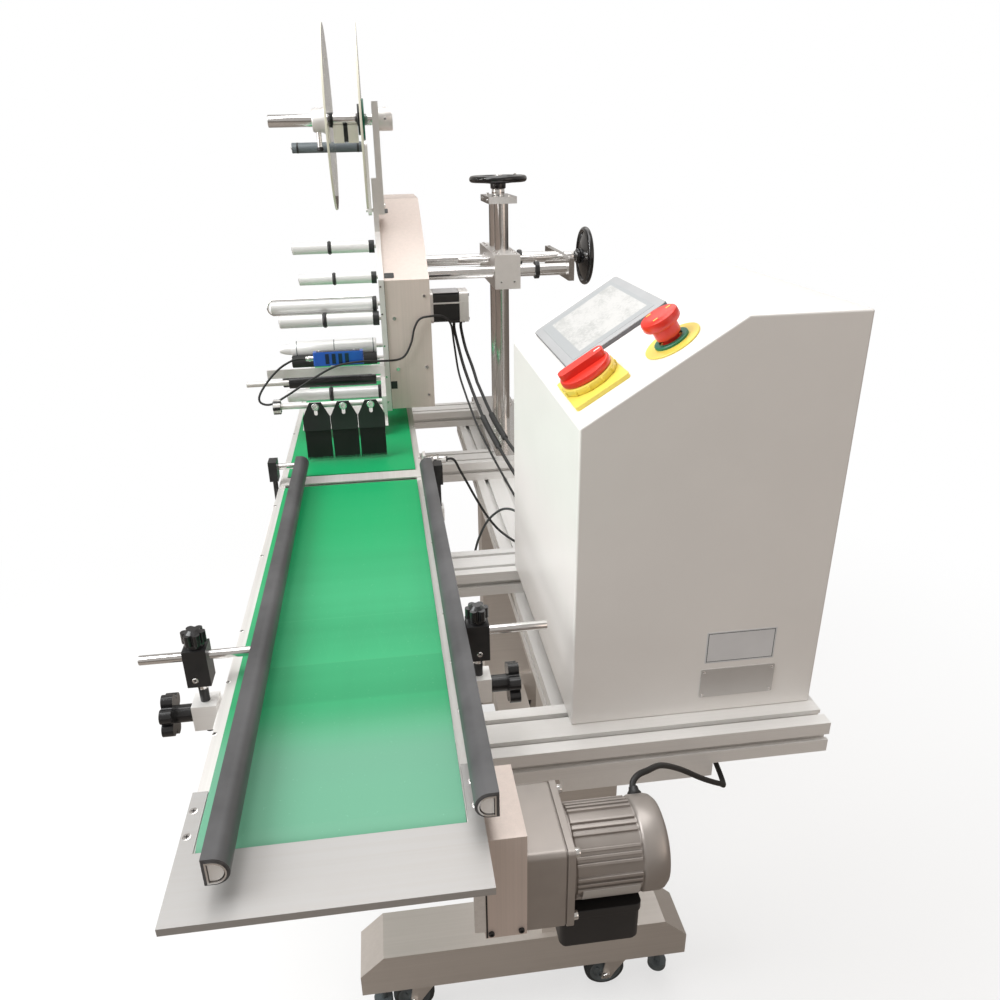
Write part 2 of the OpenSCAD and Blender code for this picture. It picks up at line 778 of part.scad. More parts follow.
// The belt's loop as an outline: r is its end radius and g how far it lies inside the outer face
module loop_outline(g) {
    r = loop_r - g;
    difference() {
        union() {
            translate([roller_y, axis_z - r]) square([conveyor_len, 2 * r]);
            for (y = [roller_y, tail_y]) translate([y, axis_z]) circle(r = r, $fn = 96);
        }
        translate([gap_y - g, dip_z]) square([gap_w + 2 * g, loop_r]);
        translate([gap_y + gap_w / 2, dip_z]) circle(d = gap_w + 2 * g);
    }
}
module conveyor_belt() color([0.25, 0.72, 0.45]) difference() {
    yz_plate(-half_belt, half_belt) loop_outline(0);
    yz_plate(-half_belt - cut, half_belt + cut) loop_outline(belt_t);
}
module belt_roller(y, x1) color("silver") {
    rod_x(-half_belt, half_belt, y, axis_z, roller_d - 2 * gap);
    rod_x(-side_out - shaft_over, x1, y, axis_z, roller_shaft_d);
}
module drive_roller() {
    belt_roller(roller_y, guard_x1 - guard_t - 2 * shaft_over);
    color("dimgray") rod_x(drive_x0, drive_x0 + drive_belt_w, roller_y, axis_z, pulley_d);
}
module tail_roller() belt_roller(tail_y, side_out + shaft_over);
module end_plate() color("silver") {
    box([-end_wide, end_y0, side_top], [end_wide, end_y1, side_top + end_t]);
    box([-end_wide, end_y0, side_top - end_lip], [end_wide, end_y0 + end_t, side_top]);
    for (s = [-1, 1]) box([s > 0 ? end_tab_in : -end_wide, end_y1, side_top],
        [s > 0 ? end_wide : -end_tab_in, end_tab_l, side_top + end_t]);
}

// Drive
module chain_guard() color("silver") difference() {
    box([guard_x0, guard_y0, guard_z0], [guard_x1, guard_y1, guard_z1]);
    box([guard_x0 - cut, guard_y0 + guard_t, guard_z0 + guard_t],
        [guard_x1 - guard_t, guard_y1 - guard_t, guard_z1 - guard_t]);
    rod_x(guard_x0, guard_x1 + cut, gear_y, gear_z, guard_bore_d);
}
module gearmotor() color([0.3, 0.28, 0.26]) {
    box([guard_x1, gear_y - gear_w / 2, gear_z - gear_w / 2], [guard_x1 + gear_l, gear_y + gear_w / 2,
        gear_z + gear_w / 2]);
    box([guard_x1 + gear_l, gear_y - gear_w / 2, gear_z - gear_w / 2],
        [guard_x1 + gear_l + flange_d, gear_y + gear_w / 2, gear_z + gear_w / 2]);
    rod_x(guard_x1 + gear_l + flange_d, guard_x1 + gear_l + flange_d + drive_motor_l, gear_y, gear_z,
        drive_motor_d);
    box([term_x0, gear_y - term_w / 2, term_z0], [term_x0 + term_l, gear_y + term_w / 2, term_z0 + term_h]);
    box([guard_x1 + gear_l + flange_d, gear_y - term_w / 4, term_z0 + term_h],
        [term_x0 + term_l, gear_y + term_w / 4, gear_z - drive_motor_d / 4]);
}
module motor_pulley() color("dimgray") {
    rod_x(drive_x0, drive_x0 + drive_belt_w, gear_y, gear_z, pulley_d);
    rod_x(drive_x0 + drive_belt_w, guard_x1 - gap, gear_y, gear_z, shaft_d);
}
drive_dy = gear_y - roller_y;
drive_dz = gear_z - axis_z;
drive_pitch = sqrt(drive_dy * drive_dy + drive_dz * drive_dz);
module drive_loop(r) {
    translate([0, -r]) square([drive_pitch, 2 * r]);
    for (x = [0, drive_pitch]) translate([x, 0]) circle(r = r);
}
module drive_belt() color("black") yz_plate(drive_x0, drive_x0 + drive_belt_w)
    translate([roller_y, axis_z]) rotate(atan2(drive_dz, drive_dy)) difference() {
        drive_loop(pulley_d / 2 + gap + drive_belt_t);
        drive_loop(pulley_d / 2 + gap);
    }

// Side guides: a half-round cover over a steel channel, its slotted flat side away from the belt
module guide_round(r) translate([guide_w - guide_h / 2, guide_h / 2]) {
    circle(r = r);
    translate([-guide_h, -r]) square([guide_h, 2 * r]);
}
module guide_section() difference() {
    intersection() {
        guide_round(guide_h / 2);
        square([guide_w, guide_h]);
    }
    intersection() {
        guide_round(guide_h / 2 - guide_skin);
        translate([guide_wall, 0]) square([guide_w, guide_h]);
    }
    translate([-cut, (guide_h - guide_slot) / 2]) square([guide_wall + 2 * cut, guide_slot]);
}
module side_guide(s, x0, y0, len, post_x, post_y) color([0.15, 0.15, 0.16]) {
    xz_plate(y0, y0 + len) translate([s < 0 ? x0 : x0 + guide_w, guide_z0]) scale([-s, 1]) guide_section();
    xz_plate(bracket_y - rod_d, bracket_y + rod_d) guide_lug(s, x0);
    xz_plate(post_y - rod_d, post_y + rod_d) guide_lug(s, x0);
    if (s < 0) {
        rod_x(-rod_reaches[0], x0, bracket_y, rod_z, rod_d);
        rod_x(-post_x - post_w / 2, x0, post_y, rod_z, rod_d);
    } else {
        rod_x(x0 + guide_w, rod_reaches[1], bracket_y, rod_z, rod_d);
        rod_x(x0 + guide_w, post_x + post_w / 2, post_y, rod_z, rod_d);
    }
}
// Nut held in the channel where a cross rod screws in
module guide_lug(s, x0) translate([s < 0 ? x0 : x0 + guide_w, guide_z0]) scale([-s, 1])
    translate([0, guide_skin]) square([guide_w - guide_h / 2 + guide_wall, guide_h - 2 * guide_skin]);
module left_guide() side_guide(-1, left_guide_x, left_guide_y, left_guide_len, post_xs[0], post_ys[0]);
module right_guide() side_guide(1, right_guide_x, right_guide_y, right_guide_len, post_xs[1], post_ys[1]);
module guide_blocks(s, post_x, post_y) color([0.1, 0.1, 0.1]) {
    difference() {
        union() {
            box([s * block_x - block_w / 2, bracket_y - block_w / 2, block_z1 - block_h],
                [s * block_x + block_w / 2, bracket_y + block_w / 2, block_z1]);
            rod_z(s * block_x, bracket_y, stem_z0, block_z1 - block_h, rod_d);
        }
        rod_x(s * block_x - block_w, s * block_x + block_w, bracket_y, rod_z, rod_d + 2 * fit);
        rod_z(s * block_x, bracket_y, rod_z, block_z1 + cut, knob_stem_d + 2 * fit);
    }
    difference() {
        union() {
            box([s * post_x - post_w / 2, post_y - post_l / 2, post_z0], [s * post_x + post_w / 2,
                post_y + post_l / 2, block_z1]);
            rod_z(s * post_x, post_y, side_bar_z - post_rod_d, post_z0, post_rod_d);
        }
        rod_x(s * post_x - post_w, s * post_x + post_w, post_y, rod_z, rod_d + 2 * fit);
    }
}
module left_guide_blocks() guide_blocks(-1, post_xs[0], post_ys[0]);
module right_guide_blocks() guide_blocks(1, post_xs[1], post_ys[1]);
module side_bar_outline(s, y) polygon([[s * side_out, y[0]], [s * (side_out + side_bar_t),
    y[0] + side_bar_nose],
    [s * (side_out + side_bar_t), y[1] - side_bar_nose], [s * side_out, y[1]]]);
module side_bars(s, post_x, post_y) difference() {
    union() {
        for (y = side_bar_ys) translate([0, 0,
            side_bar_z]) linear_extrude(height = side_bar_h) side_bar_outline(s, y);
        box([s * block_x - clamp_w / 2, bracket_y - clamp_w / 2, clamp_z0], [s * block_x + clamp_w / 2,
            bracket_y + clamp_w / 2, clamp_z0 + clamp_h]);
        if (post_x > side_out + side_bar_t / 2) box([side_out + side_bar_t, post_y - post_l / 2,
            side_bar_z],
            [post_x + post_w / 2, post_y + post_l / 2, side_bar_z + side_bar_h]);
    }
    rod_z(s * block_x, bracket_y, clamp_z0 - cut, clamp_z0 + clamp_h + cut, rod_d + 2 * fit);
    rod_z(s * post_x, post_y, side_bar_z - cut, side_bar_z + side_bar_h + cut, post_rod_d + 2 * fit);
    rod_x(s * block_x - (s < 0 ? clamp_w : 0), s * block_x + (s < 0 ? 0 : clamp_w), bracket_y,
        clamp_z0 + clamp_h / 2, knob_stem_d + 2 * fit);
}
module guide_clamps() color("gainsboro") {
    side_bars(-1, post_xs[0], post_ys[0]);
    side_bars(1, post_xs[1], post_ys[1]);
}
// A lobed clamping knob of diameter d: its stem starts at the origin and its head lies up along Z
module knob(d, collar) {
    lobe = d * knob_lobe_share;
    head_z = knob_stem_l + gap + collar + knob_neck;
    cylinder(d = knob_stem_d, h = head_z);
    translate([0, 0, knob_stem_l + gap]) cylinder(d = knob_hub_d, h = collar + knob_neck);
    translate([0, 0, head_z]) {
        cylinder(d = d - lobe, h = knob_h);
        for (i = [0 : knob_lobes - 1]) rotate(i * 360 / knob_lobes) translate([(d - lobe) / 2, 0, 0])
            cylinder(d = lobe, h = knob_h);
        translate([0, 0, knob_h]) cylinder(d1 = d - lobe, d2 = knob_hub_d / 2, h = knob_h / 4);
    }
}
module top_knob(s) color([0.08, 0.08, 0.08]) translate([s * block_x, bracket_y,
    block_z1 - knob_stem_l]) knob(knob_small, 0);
module side_knob(s) color([0.08, 0.08, 0.08])
    translate([s * (block_x + clamp_w / 2 - knob_stem_l), bracket_y, clamp_z0 + clamp_h / 2]) rotate([0,
        s * 90, 0])
        knob(knob_big, side_knob_collar);
module left_top_knob() top_knob(-1);
module left_side_knob() side_knob(-1);
module right_top_knob() top_knob(1);
module right_side_knob() side_knob(1);

// Post and cross slide
module posts() color("lightgray") {
    for (s = [-1, 1]) rod_z(post_x, post_y + s * post_pitch / 2, rail_top + post_plate_t, post_top, post_d);
    box([post_x - post_plate_w / 2, rail_ys[2] - rail_w / 2, rail_top],
        [post_x + post_plate_w / 2, rail_ys[3] + rail_w / 2, rail_top + post_plate_t]);
    difference() {
        box([post_x - cap_w / 2, post_y - cap_l / 2, post_top], [post_x + cap_w / 2, post_y + cap_l / 2,
            post_top + cap_t]);
        rod_z(post_x, post_y, post_top - cut, post_top + cap_t + cut, screw_d + 2 * fit);
    }
}
// A three-spoked handwheel with its axis up along Z
module handwheel() {
    cylinder(d = wheel_hub_d, h = wheel_hub_h);
    translate([0, 0, wheel_hub_h - wheel_rim_d / 2]) {
        rotate_extrude($fn = 72) translate([(handwheel_d - wheel_rim_d) / 2, 0]) circle(d = wheel_rim_d,
            $fn = 20);
        for (i = [0 : 2]) rotate([0, 90, i * 120 + spoke_turn]) translate([0, 0, wheel_hub_d / 4])
            cylinder(d = wheel_spoke_d, h = (handwheel_d - wheel_rim_d) / 2 - wheel_hub_d / 4);
    }
}
module height_handwheel() {
    color([0.07, 0.07, 0.07]) translate([post_x, post_y, post_top + cap_t + gap + wheel_boss]) handwheel();
    color("silver") {
        rod_z(post_x, post_y, rail_top + post_plate_t + gap, post_top + cap_t + gap + wheel_boss, screw_d);
        rod_z(post_x, post_y, post_top + cap_t + gap, post_top + cap_t + gap + wheel_boss,
            screw_d + wheel_boss_over);
    }
}
module cross_block() color("gainsboro") difference() {
    box([post_x - block_wx / 2, post_y - block_wy / 2, arm_z - block_wz / 2], [post_x + block_wx / 2,
        post_y + block_wy / 2, arm_z + block_wz / 2]);
    for (s = [-1, 1]) rod_z(post_x, post_y + s * post_pitch / 2, arm_z - block_wz, arm_z + block_wz,
        post_d + 2 * fit);
    rod_z(post_x, post_y, arm_z - block_wz, arm_z + block_wz, screw_d + 2 * fit);
    for (y = arm_ys) rod_x(post_x - block_wx, post_x + block_wx, y, arm_z, arm_d + 2 * fit);
    rod_x(post_x - block_wx, post_x + block_wx, cross_screw_y, cross_screw_z, cross_screw_d + 2 * fit);
}
arm_x1 = plate_x1 + arm_len;
module cross_arms() color("silver") {
    for (y = arm_ys) {
        rod_x(plate_x1, arm_x1, y, arm_z, arm_d);
        rod_x(arm_x1 - collar_in, arm_x1 - collar_in + collar_w, y, arm_z, collar_d);
    }
    difference() {
        box([arm_x1, arm_ys[0] - end_block_over, arm_z - end_w / 2],
            [arm_x1 + end_block_t, arm_ys[1] + end_block_over, arm_z + end_w / 2]);
        rod_x(arm_x1 - cut, arm_x1 + end_block_t + cut, cross_screw_y, cross_screw_z,
            cross_screw_d + 2 * fit);
    }
}
module cross_handwheel() {
    color([0.07, 0.07, 0.07]) translate([wheel_x0, cross_screw_y, cross_screw_z]) rotate([0, 90,
        0]) handwheel();
    color("silver") {
        rod_x(post_x - block_wx / 2 - cross_screw_in, wheel_x0, cross_screw_y, cross_screw_z,
            cross_screw_d);
        rod_x(arm_x1 + end_block_t + gap, wheel_x0, cross_screw_y, cross_screw_z,
            cross_screw_d + cross_boss_over);
    }
}

// Cabinet and controls
module cab_outline(g) polygon([
    [cab_x0 + g, cab_z0 + g], [cab_x1 - g, cab_z0 + g], [cab_x1 - g, cab_z0 + cab_h - g],
    [cab_slope_x + g * tan(slope_a / 2), cab_z0 + cab_h - g],
    [cab_x0 + g, cab_z0 + cab_front_h - g * tan(45 - slope_a / 2)]]);
// Places a piece on the sloped panel: u up the slope, y along the machine
module on_slope(u, y) translate([cab_x0, y, cab_z0 + cab_front_h]) rotate([0, -slope_a, 0]) translate([u,
    0, 0]) children();
module cabinet() {
    color([0.95, 0.95, 0.95]) difference() {
        xz_plate(cab_y0, cab_y0 + cab_d) cab_outline(0);
        xz_plate(cab_y0 + cab_wall, cab_y0 + cab_d - cab_wall) cab_outline(cab_wall);
        on_slope(estop_up, estop_y) translate([0, 0, -cab_wall * 2]) cylinder(d = estop_stem_d + 2 * fit,
            h = cab_wall * 4);
    }
    color("gold") {
        on_slope(estop_up, estop_y) difference() {
            cylinder(d = estop_ring_d, h = estop_ring_t);
            translate([0, 0, -cut]) cylinder(d = estop_stem_d + 2 * fit, h = estop_ring_t + 2 * cut);
        }
        on_slope(switch_up, switch_y) {
            translate([-switch_plate_w / 2, -switch_plate_l / 2, 0]) cube([switch_plate_w,
                switch_plate_l, switch_plate_t]);
            translate([0, 0, switch_plate_t]) cylinder(d = switch_d, h = switch_ring_h / 2);
        }
    }
    color("silver") translate([cab_x1 - label_plate_in - label_plate_w, cab_y0 - label_plate_t,
        cab_z0 + label_plate_up])
        cube([label_plate_w, label_plate_t, label_plate_h]);
    color([0.1, 0.1, 0.1]) {
        for (g = glands) rod_y(g[0], cab_y1, cab_y1 + gland_l, g[1], gland_d);
        rod_z(gland_under[0], gland_under[1], cab_z0 - gland_l, cab_z0, gland_d);
    }
}
module touch_screen() color([0.7, 0.73, 0.75]) on_slope(screen_u0, screen_y0) cube([screen_w, screen_l,
    screen_t]);
module estop_button() color([0.85, 0.2, 0.15]) on_slope(estop_up, estop_y) {
    translate([0, 0, -cab_wall * 2]) cylinder(d = estop_stem_d,
        h = cab_wall * 2 + estop_ring_t + estop_travel + estop_stem_h);
    translate([0, 0, estop_ring_t + estop_travel + estop_stem_h]) cylinder(d = estop_d,
        h = estop_head_h / 2);
    translate([0, 0, estop_ring_t + estop_travel + estop_stem_h + estop_head_h / 2])
        cylinder(d1 = estop_d, d2 = estop_top_d, h = estop_head_h / 2);
}
module switch_handle() color([0.85, 0.1, 0.08]) on_slope(switch_up, switch_y)
    translate([0, 0, switch_plate_t + switch_ring_h / 2 + gap]) {
        cylinder(d = switch_d - switch_handle_in, h = switch_ring_h / 2);
        translate([-switch_d / 2 + switch_handle_in, -switch_handle_h, switch_ring_h / 2])
            cube([switch_d - 2 * switch_handle_in, switch_handle_h * 2, switch_handle_h]);
    }

// Label head
head_y1 = head_y0 + head_len;
module head_outline(g, top) polygon([
    [head_y0 + g, head_z0 + g], [head_y1 - g, head_z0 + g], [head_y1 - g, head_z0 + head_h - g],
    [head_y0 + head_chamfer_run + g * cover_shrink, head_z0 + head_h - g],
    [head_y0 + g, head_z0 + head_face_h - g * (1 - cover_shrink)]]);
module head_pin(y, z, len) rod_x(head_x0 - len, head_x0, y, z, pin_d);
module mounting_plate() color("gainsboro") {
    yz_plate(head_x0, plate_x1) head_outline(0);
    box([head_x0, tab_y - tab_w / 2, head_z0 + head_face_h], [plate_x1, tab_y + tab_w / 2,
        head_z0 + head_h + tab_top]);
    difference() {
        union() {
            box([plate_x1, tab_y - reel_arm_w / 2, head_z0 + head_h - reel_arm_drop],
                [plate_x1 + reel_arm_t, tab_y + reel_arm_w / 2, reel_z + reel_arm_over]);
            rod_x(plate_x1 + reel_arm_t, plate_x1 + reel_arm_t + hub_l, tab_y, reel_z, hub_d);
        }
        rod_x(plate_x1 - cut, plate_x1 + reel_arm_t + hub_l - spindle_in + spindle_step, tab_y, reel_z,
            spindle_bore_d);
    }
    for (i = [0 : 3]) head_pin(guide_roller_ys[i], belt_top + guide_roller_ups[i], guide_roller_ls[i]);
    head_pin(feed_y, feed_z, feed_l);
    head_pin(nip_y, nip_z, feed_l);
    head_pin(rewind_y, rewind_z, rewind_l - gap);
    head_pin(dancer_pivot_y, dancer_pivot_z, dancer_arm_t + pin_d);
}
module head_cover() color("silver") difference() {
    yz_plate(plate_x1, cover_x1) head_outline(cover_in);
    yz_plate(plate_x1 - cut, cover_x1 - cover_wall) head_outline(cover_in + cover_wall);
    for (y = arm_ys) rod_x(cover_x1 - cover_wall - cut, cover_x1 + cut, y, arm_z, arm_d + 2 * motor_step);
}
module feed_motor() color([0.12, 0.12, 0.12]) {
    box([cover_x1, motor_y - motor_w / 2, motor_z - motor_w / 2], [cover_x1 + motor_cap,
        motor_y + motor_w / 2, motor_z + motor_w / 2]);
    box([cover_x1 + motor_cap, motor_y - motor_w / 2 + motor_step, motor_z - motor_w / 2 + motor_step],
        [cover_x1 + motor_l - motor_back, motor_y + motor_w / 2 - motor_step,
            motor_z + motor_w / 2 - motor_step]);
    box([cover_x1 + motor_l - motor_back, motor_y - motor_w / 2, motor_z - motor_w / 2],
        [cover_x1 + motor_l, motor_y + motor_w / 2, motor_z + motor_w / 2]);
    for (l = [motor_lead_a, motor_lead_b]) rod_z(l[0][0], l[0][1], l[0][2], l[0][2] + motor_gland_h,
        motor_gland_d);
}
module roller(x1, y, z, d, len) difference() {
    rod_x(x1 - len, x1, y, z, d);
    rod_x(x1 - len - cut, x1 + cut, y, z, roller_bore);
}
module guide_roller(i) color("silver") {
    y = guide_roller_ys[i];
    z = belt_top + guide_roller_ups[i];
    len = guide_roller_ls[i];
    roller(roller_x1, y, z, guide_roller_d, len);
    for (x = [[len * collar_at + collar_w / 2, collar_w], [collar_w, collar_w]])
        ring_x(roller_x1 - x[0], roller_x1 - x[0] + x[1], y, z, guide_roller_d + collar_step, collar_bore);
}
module feed_roller() color([0.9, 0.9, 0.9]) {
    roller(feed_x1, feed_y, feed_z, feed_roller_d, feed_l);
    translate([feed_x1 - feed_l, feed_y, feed_z]) rotate([0, -90, 0]) cylinder(d1 = feed_tip_d1,
        d2 = feed_tip_d, h = feed_tip_l);
}
module nip_roller() color([0.1, 0.1, 0.1]) roller(feed_x1, nip_y, nip_z, nip_d, feed_l);
module rewind_spool() color("silver") {
    difference() {
        rod_x(head_x0 - rewind_l - spool_end, head_x0 - spool_end, rewind_y, rewind_z, rewind_d);
        rod_x(head_x0 - rewind_l, head_x0, rewind_y, rewind_z, roller_bore);
    }
    for (s = [-1, 1]) rod_x(head_x0 - rewind_l - clip_d * 2, head_x0 - clip_in, rewind_y,
        rewind_z + s * (clip_h - clip_d) / 2, clip_d);
    rod_z(head_x0 - rewind_l - clip_d * 2, rewind_y, rewind_z - clip_h / 2 - gap,
        rewind_z + clip_h / 2 + gap, clip_end_d);
    ring_x(head_x0 - clip_ring_x[0], head_x0 - clip_ring_x[1], rewind_y, rewind_z, clip_ring_d, spool_bore);
}
module label_reel() {
    color("silver") {
        rod_x(head_x0 - spindle_l, reel_x1, tab_y, reel_z, spindle_d + spindle_step);
        rod_x(reel_x1, plate_x1 + reel_arm_t + hub_l - spindle_in, tab_y, reel_z, spindle_d);
        rod_x(reel_x1 - disc_t - disc_gap - hub_end, reel_x1 - 2 * disc_t - disc_gap, tab_y, reel_z,
            hub_d + hub_step);
        rod_z(reel_x1 - disc_t - disc_gap - hub_knob_in, tab_y, reel_z - hub_knob_z[0],
            reel_z - hub_knob_z[1], hub_knob_d);
    }
    color([0.15, 0.15, 0.15]) rod_x(reel_x1 - disc_t - disc_gap, reel_x1 - disc_t, tab_y, reel_z, core_d);
    color([0.92, 0.95, 0.92]) for (x = [reel_x1 - disc_t, reel_x1 - 2 * disc_t - disc_gap]) difference() {
        rod_x(x, x + disc_t, tab_y, reel_z, disc_d, $fn = 96);
        rod_x(x - cut, x + disc_t + cut, tab_y, reel_z, spindle_d);
    }
}
dancer_a = atan2(dancer_z - dancer_pivot_z, dancer_y - dancer_pivot_y);
dancer_len = sqrt(pow(dancer_z - dancer_pivot_z, 2) + pow(dancer_y - dancer_pivot_y, 2));
module dancer_arm() {
    color("silver") difference() {
        yz_plate(roller_x1 - dancer_arm_t, roller_x1) translate([dancer_pivot_y,
            dancer_pivot_z]) rotate(dancer_a) {
            translate([0, -dancer_arm_w / 2]) square([dancer_len, dancer_arm_w]);
            for (x = [0, dancer_len]) translate([x, 0]) circle(d = dancer_arm_w);
        }
        rod_x(roller_x1 - dancer_arm_t - cut, roller_x1 + cut, dancer_pivot_y, dancer_pivot_z, roller_bore);
    }
    color([0.15, 0.15, 0.16]) rod_x(roller_x1 - dancer_arm_t - dancer_roller_l, roller_x1 - dancer_arm_t,
        dancer_y, dancer_z, dancer_roller_d);
}
module peel_plate() {
    color("silver") {
        yz_plate(head_x0 - peel_w, head_x0) polygon([[peel_y0, peel_z0],
            [peel_y0 + peel_t, peel_z0 - peel_edge], [peel_y1, peel_z1 - peel_t], [peel_y1, peel_z1],
            [peel_y1 - peel_bend, peel_z1]]);
        box([head_x0 - peel_bar_t, head_y0 - peel_bar_y[0], peel_z0 + peel_bar_up], [head_x0,
            head_y0 + peel_bar_y[1], sensor_bar_z]);
        box([head_x0 - sensor_joint, sensor_bar_y - 3 * sensor_bar_t / 2, sensor_bar_z - sensor_bar_h],
            [head_x0, sensor_bar_y + 3 * sensor_bar_t / 2, sensor_bar_z]);
        box([head_x0 - sensor_bar_l, sensor_bar_y - sensor_bar_t / 2, sensor_bar_z - sensor_bar_h],
            [head_x0 - sensor_joint, sensor_bar_y + sensor_bar_t / 2, sensor_bar_z]);
        box([head_x0 - peel_bar_t, carrier_y - carrier_d / 2, carrier_z - carrier_d],
            [head_x0, head_y0 - peel_bar_y[0], carrier_z + carrier_d]);
        rod_x(brush_x0 - knob_rod_over, head_x0, carrier_y, carrier_z, carrier_d);
        rod_x(press_x1 - press_rod_l, head_x0, press_y, press_z, press_rod_d);
        for (i = [0 : brush_n - 1]) {
            x = brush_x0 + i * (brush_w + brush_gap) + brush_w / 2;
            rod_y(x, brush_y - gap - brush_screw_h, brush_y - gap, carrier_z, brush_screw_d);
            rod_y(x, brush_y - gap, carrier_y, carrier_z, brush_stem_d);
            rod_y(x, brush_y + brush_t + gap, carrier_y, carrier_z, brush_screw_d);
        }
    }
    color([0.1, 0.1, 0.1]) {
        rod_x(press_x1 - press_l, press_x1, press_y, press_z, press_d);
        rod_x(brush_x0 - knob_rod_over - knob_h, brush_x0 - knob_rod_over, carrier_y, carrier_z,
            knob_rod_d);
    }
}

// Wiping brushes
module brush_outline() {
    square([brush_w, ferrule_h]);
    polygon([[0, ferrule_h], [brush_w, ferrule_h], [brush_w * brush_slant[1], brush_h],
        [brush_w * brush_slant[0], brush_h]]);
}
module brush_holder() color([0.1, 0.1,
    0.1]) for (i = [0 : brush_n - 1]) translate([brush_x0 + i * (brush_w + brush_gap), 0, brush_z0]) {
    difference() {
        translate([0, brush_y + brush_t, 0]) rotate([90, 0,
            0]) linear_extrude(height = brush_t) brush_outline();
        for (z = [0, brush_slot_l]) rod_y(brush_w / 2, brush_y - cut, brush_y + brush_t + cut,
            carrier_z - brush_z0 - z, brush_slot_w);
        box([brush_w / 2 - brush_slot_w / 2, brush_y - cut, carrier_z - brush_z0 - brush_slot_l],
            [brush_w / 2 + brush_slot_w / 2, brush_y + brush_t + cut, carrier_z - brush_z0]);
    }
    box([0, brush_y + brush_t, backing_t], [brush_w, brush_y + ferrule_t, ferrule_h]);
}
// One comb of bristles in a single skin: its backing's lower face is a grid, and every cell with two odd
// numbers runs down as a strand
comb_nx = 2 * bristle_nx + 1;
comb_ny = 2 * bristle_ny + 1;
comb_dx = brush_w / comb_nx;
comb_dy = (ferrule_t - brush_t) / comb_ny;
function comb_at(i, j) = i * (comb_ny + 1) + j;
grid_count = (comb_nx + 1) * (comb_ny + 1);
strand_uneven = 3;    // tips end within this of one another
function strand_lean(i, j, k) = (((i * 7 + j * 13 + k * 5) % 11) / 11 - 0.5) * 0.5;
function strand_drop(i, j) = bristle_l - (((i * 5 + j * 3) % 7) / 7) * strand_uneven;
strands = [for (i = [1 : 2 : comb_nx - 1]) for (j = [1 : 2 : comb_ny - 1]) [i, j]];
comb_points = concat(
    [for (i = [0 : comb_nx]) for (j = [0 : comb_ny]) [i * comb_dx, j * comb_dy, 0]],
    [[0, 0, backing_t], [0, comb_ny * comb_dy, backing_t], [comb_nx * comb_dx, comb_ny * comb_dy,
        backing_t],
        [comb_nx * comb_dx, 0, backing_t]],
    [for (s = strands) for (c = [[0, 0], [1, 0], [1, 1], [0, 1]])
        [(s[0] + c[0] + strand_lean(s[0], s[1], 1)) * comb_dx, (s[1] + c[1] + strand_lean(s[0], s[1],
            2)) * comb_dy,
            -strand_drop(s[0], s[1])]]);
function is_strand(i, j) = i % 2 == 1 && j % 2 == 1;
function strand_base(n) = grid_count + 4 + 4 * n;
comb_faces = concat(
    [for (i = [0 : comb_nx - 1]) for (j = [0 : comb_ny - 1]) if (!is_strand(i, j))
        [comb_at(i, j), comb_at(i + 1, j), comb_at(i + 1, j + 1), comb_at(i, j + 1)]],
    [for (n = [0 : len(strands) - 1]) let (s = strands[n], b = strand_base(n),
        r = [comb_at(s[0], s[1]), comb_at(s[0] + 1, s[1]), comb_at(s[0] + 1, s[1] + 1), comb_at(s[0],
            s[1] + 1)])
        each concat([[b, b + 1, b + 2, b + 3]], [for (k = [0 : 3]) [r[k], r[(k + 1) % 4],
            b + (k + 1) % 4, b + k]])],
    [[grid_count, grid_count + 1, grid_count + 2, grid_count + 3]],
    [concat([grid_count + 3], [for (i = [comb_nx : -1 : 0]) comb_at(i, 0)], [grid_count])],
    [concat([grid_count + 1], [for (i = [0 : comb_nx]) comb_at(i, comb_ny)], [grid_count + 2])],
    [concat([grid_count], [for (j = [0 : comb_ny]) comb_at(0, j)], [grid_count + 1])],
    [concat([grid_count + 2], [for (j = [comb_ny : -1 : 0]) comb_at(comb_nx, j)], [grid_count + 3])]);
module brush_bristles() color([0.07, 0.07, 0.07]) for (i = [0 : brush_n - 1])
    translate([brush_x0 + i * (brush_w + brush_gap), brush_y + brush_t,
        brush_z0]) polyhedron(points = comb_points, faces = comb_faces);

// Sensors
module label_sensor() color([0.1, 0.3, 0.8]) {
    box([sensor_x0, sensor_bar_y - sensor_w / 2, sensor_bar_z + sensor_lift],
        [sensor_x0 + sensor_l, sensor_bar_y + sensor_w / 2, sensor_bar_z + sensor_lift + sensor_h]);
    box([sensor_x0 + sensor_l / 3, sensor_bar_y - sensor_w / 2, sensor_bar_z],
        [sensor_x0 + sensor_l / 2, sensor_bar_y + sensor_w / 2, sensor_bar_z + sensor_lift]);
    rod_x(sensor_x0 - plug_l, sensor_x0, label_lead[0][1], label_lead[0][2], plug_d);
}
module product_sensor() color("silver") {
    rod_x(side_out + psensor_plate_t, product_lead[0][0], psensor_y, psensor_z, psensor_d);
    rod_x(side_out + 2 * psensor_plate_t, side_out + 3 * psensor_plate_t, psensor_y, psensor_z,
        psensor_nut_d);
    box([side_out, psensor_y - psensor_d, side_top - psensor_foot],
        [side_out + psensor_plate_t, psensor_y + psensor_d, psensor_z + psensor_d]);
}

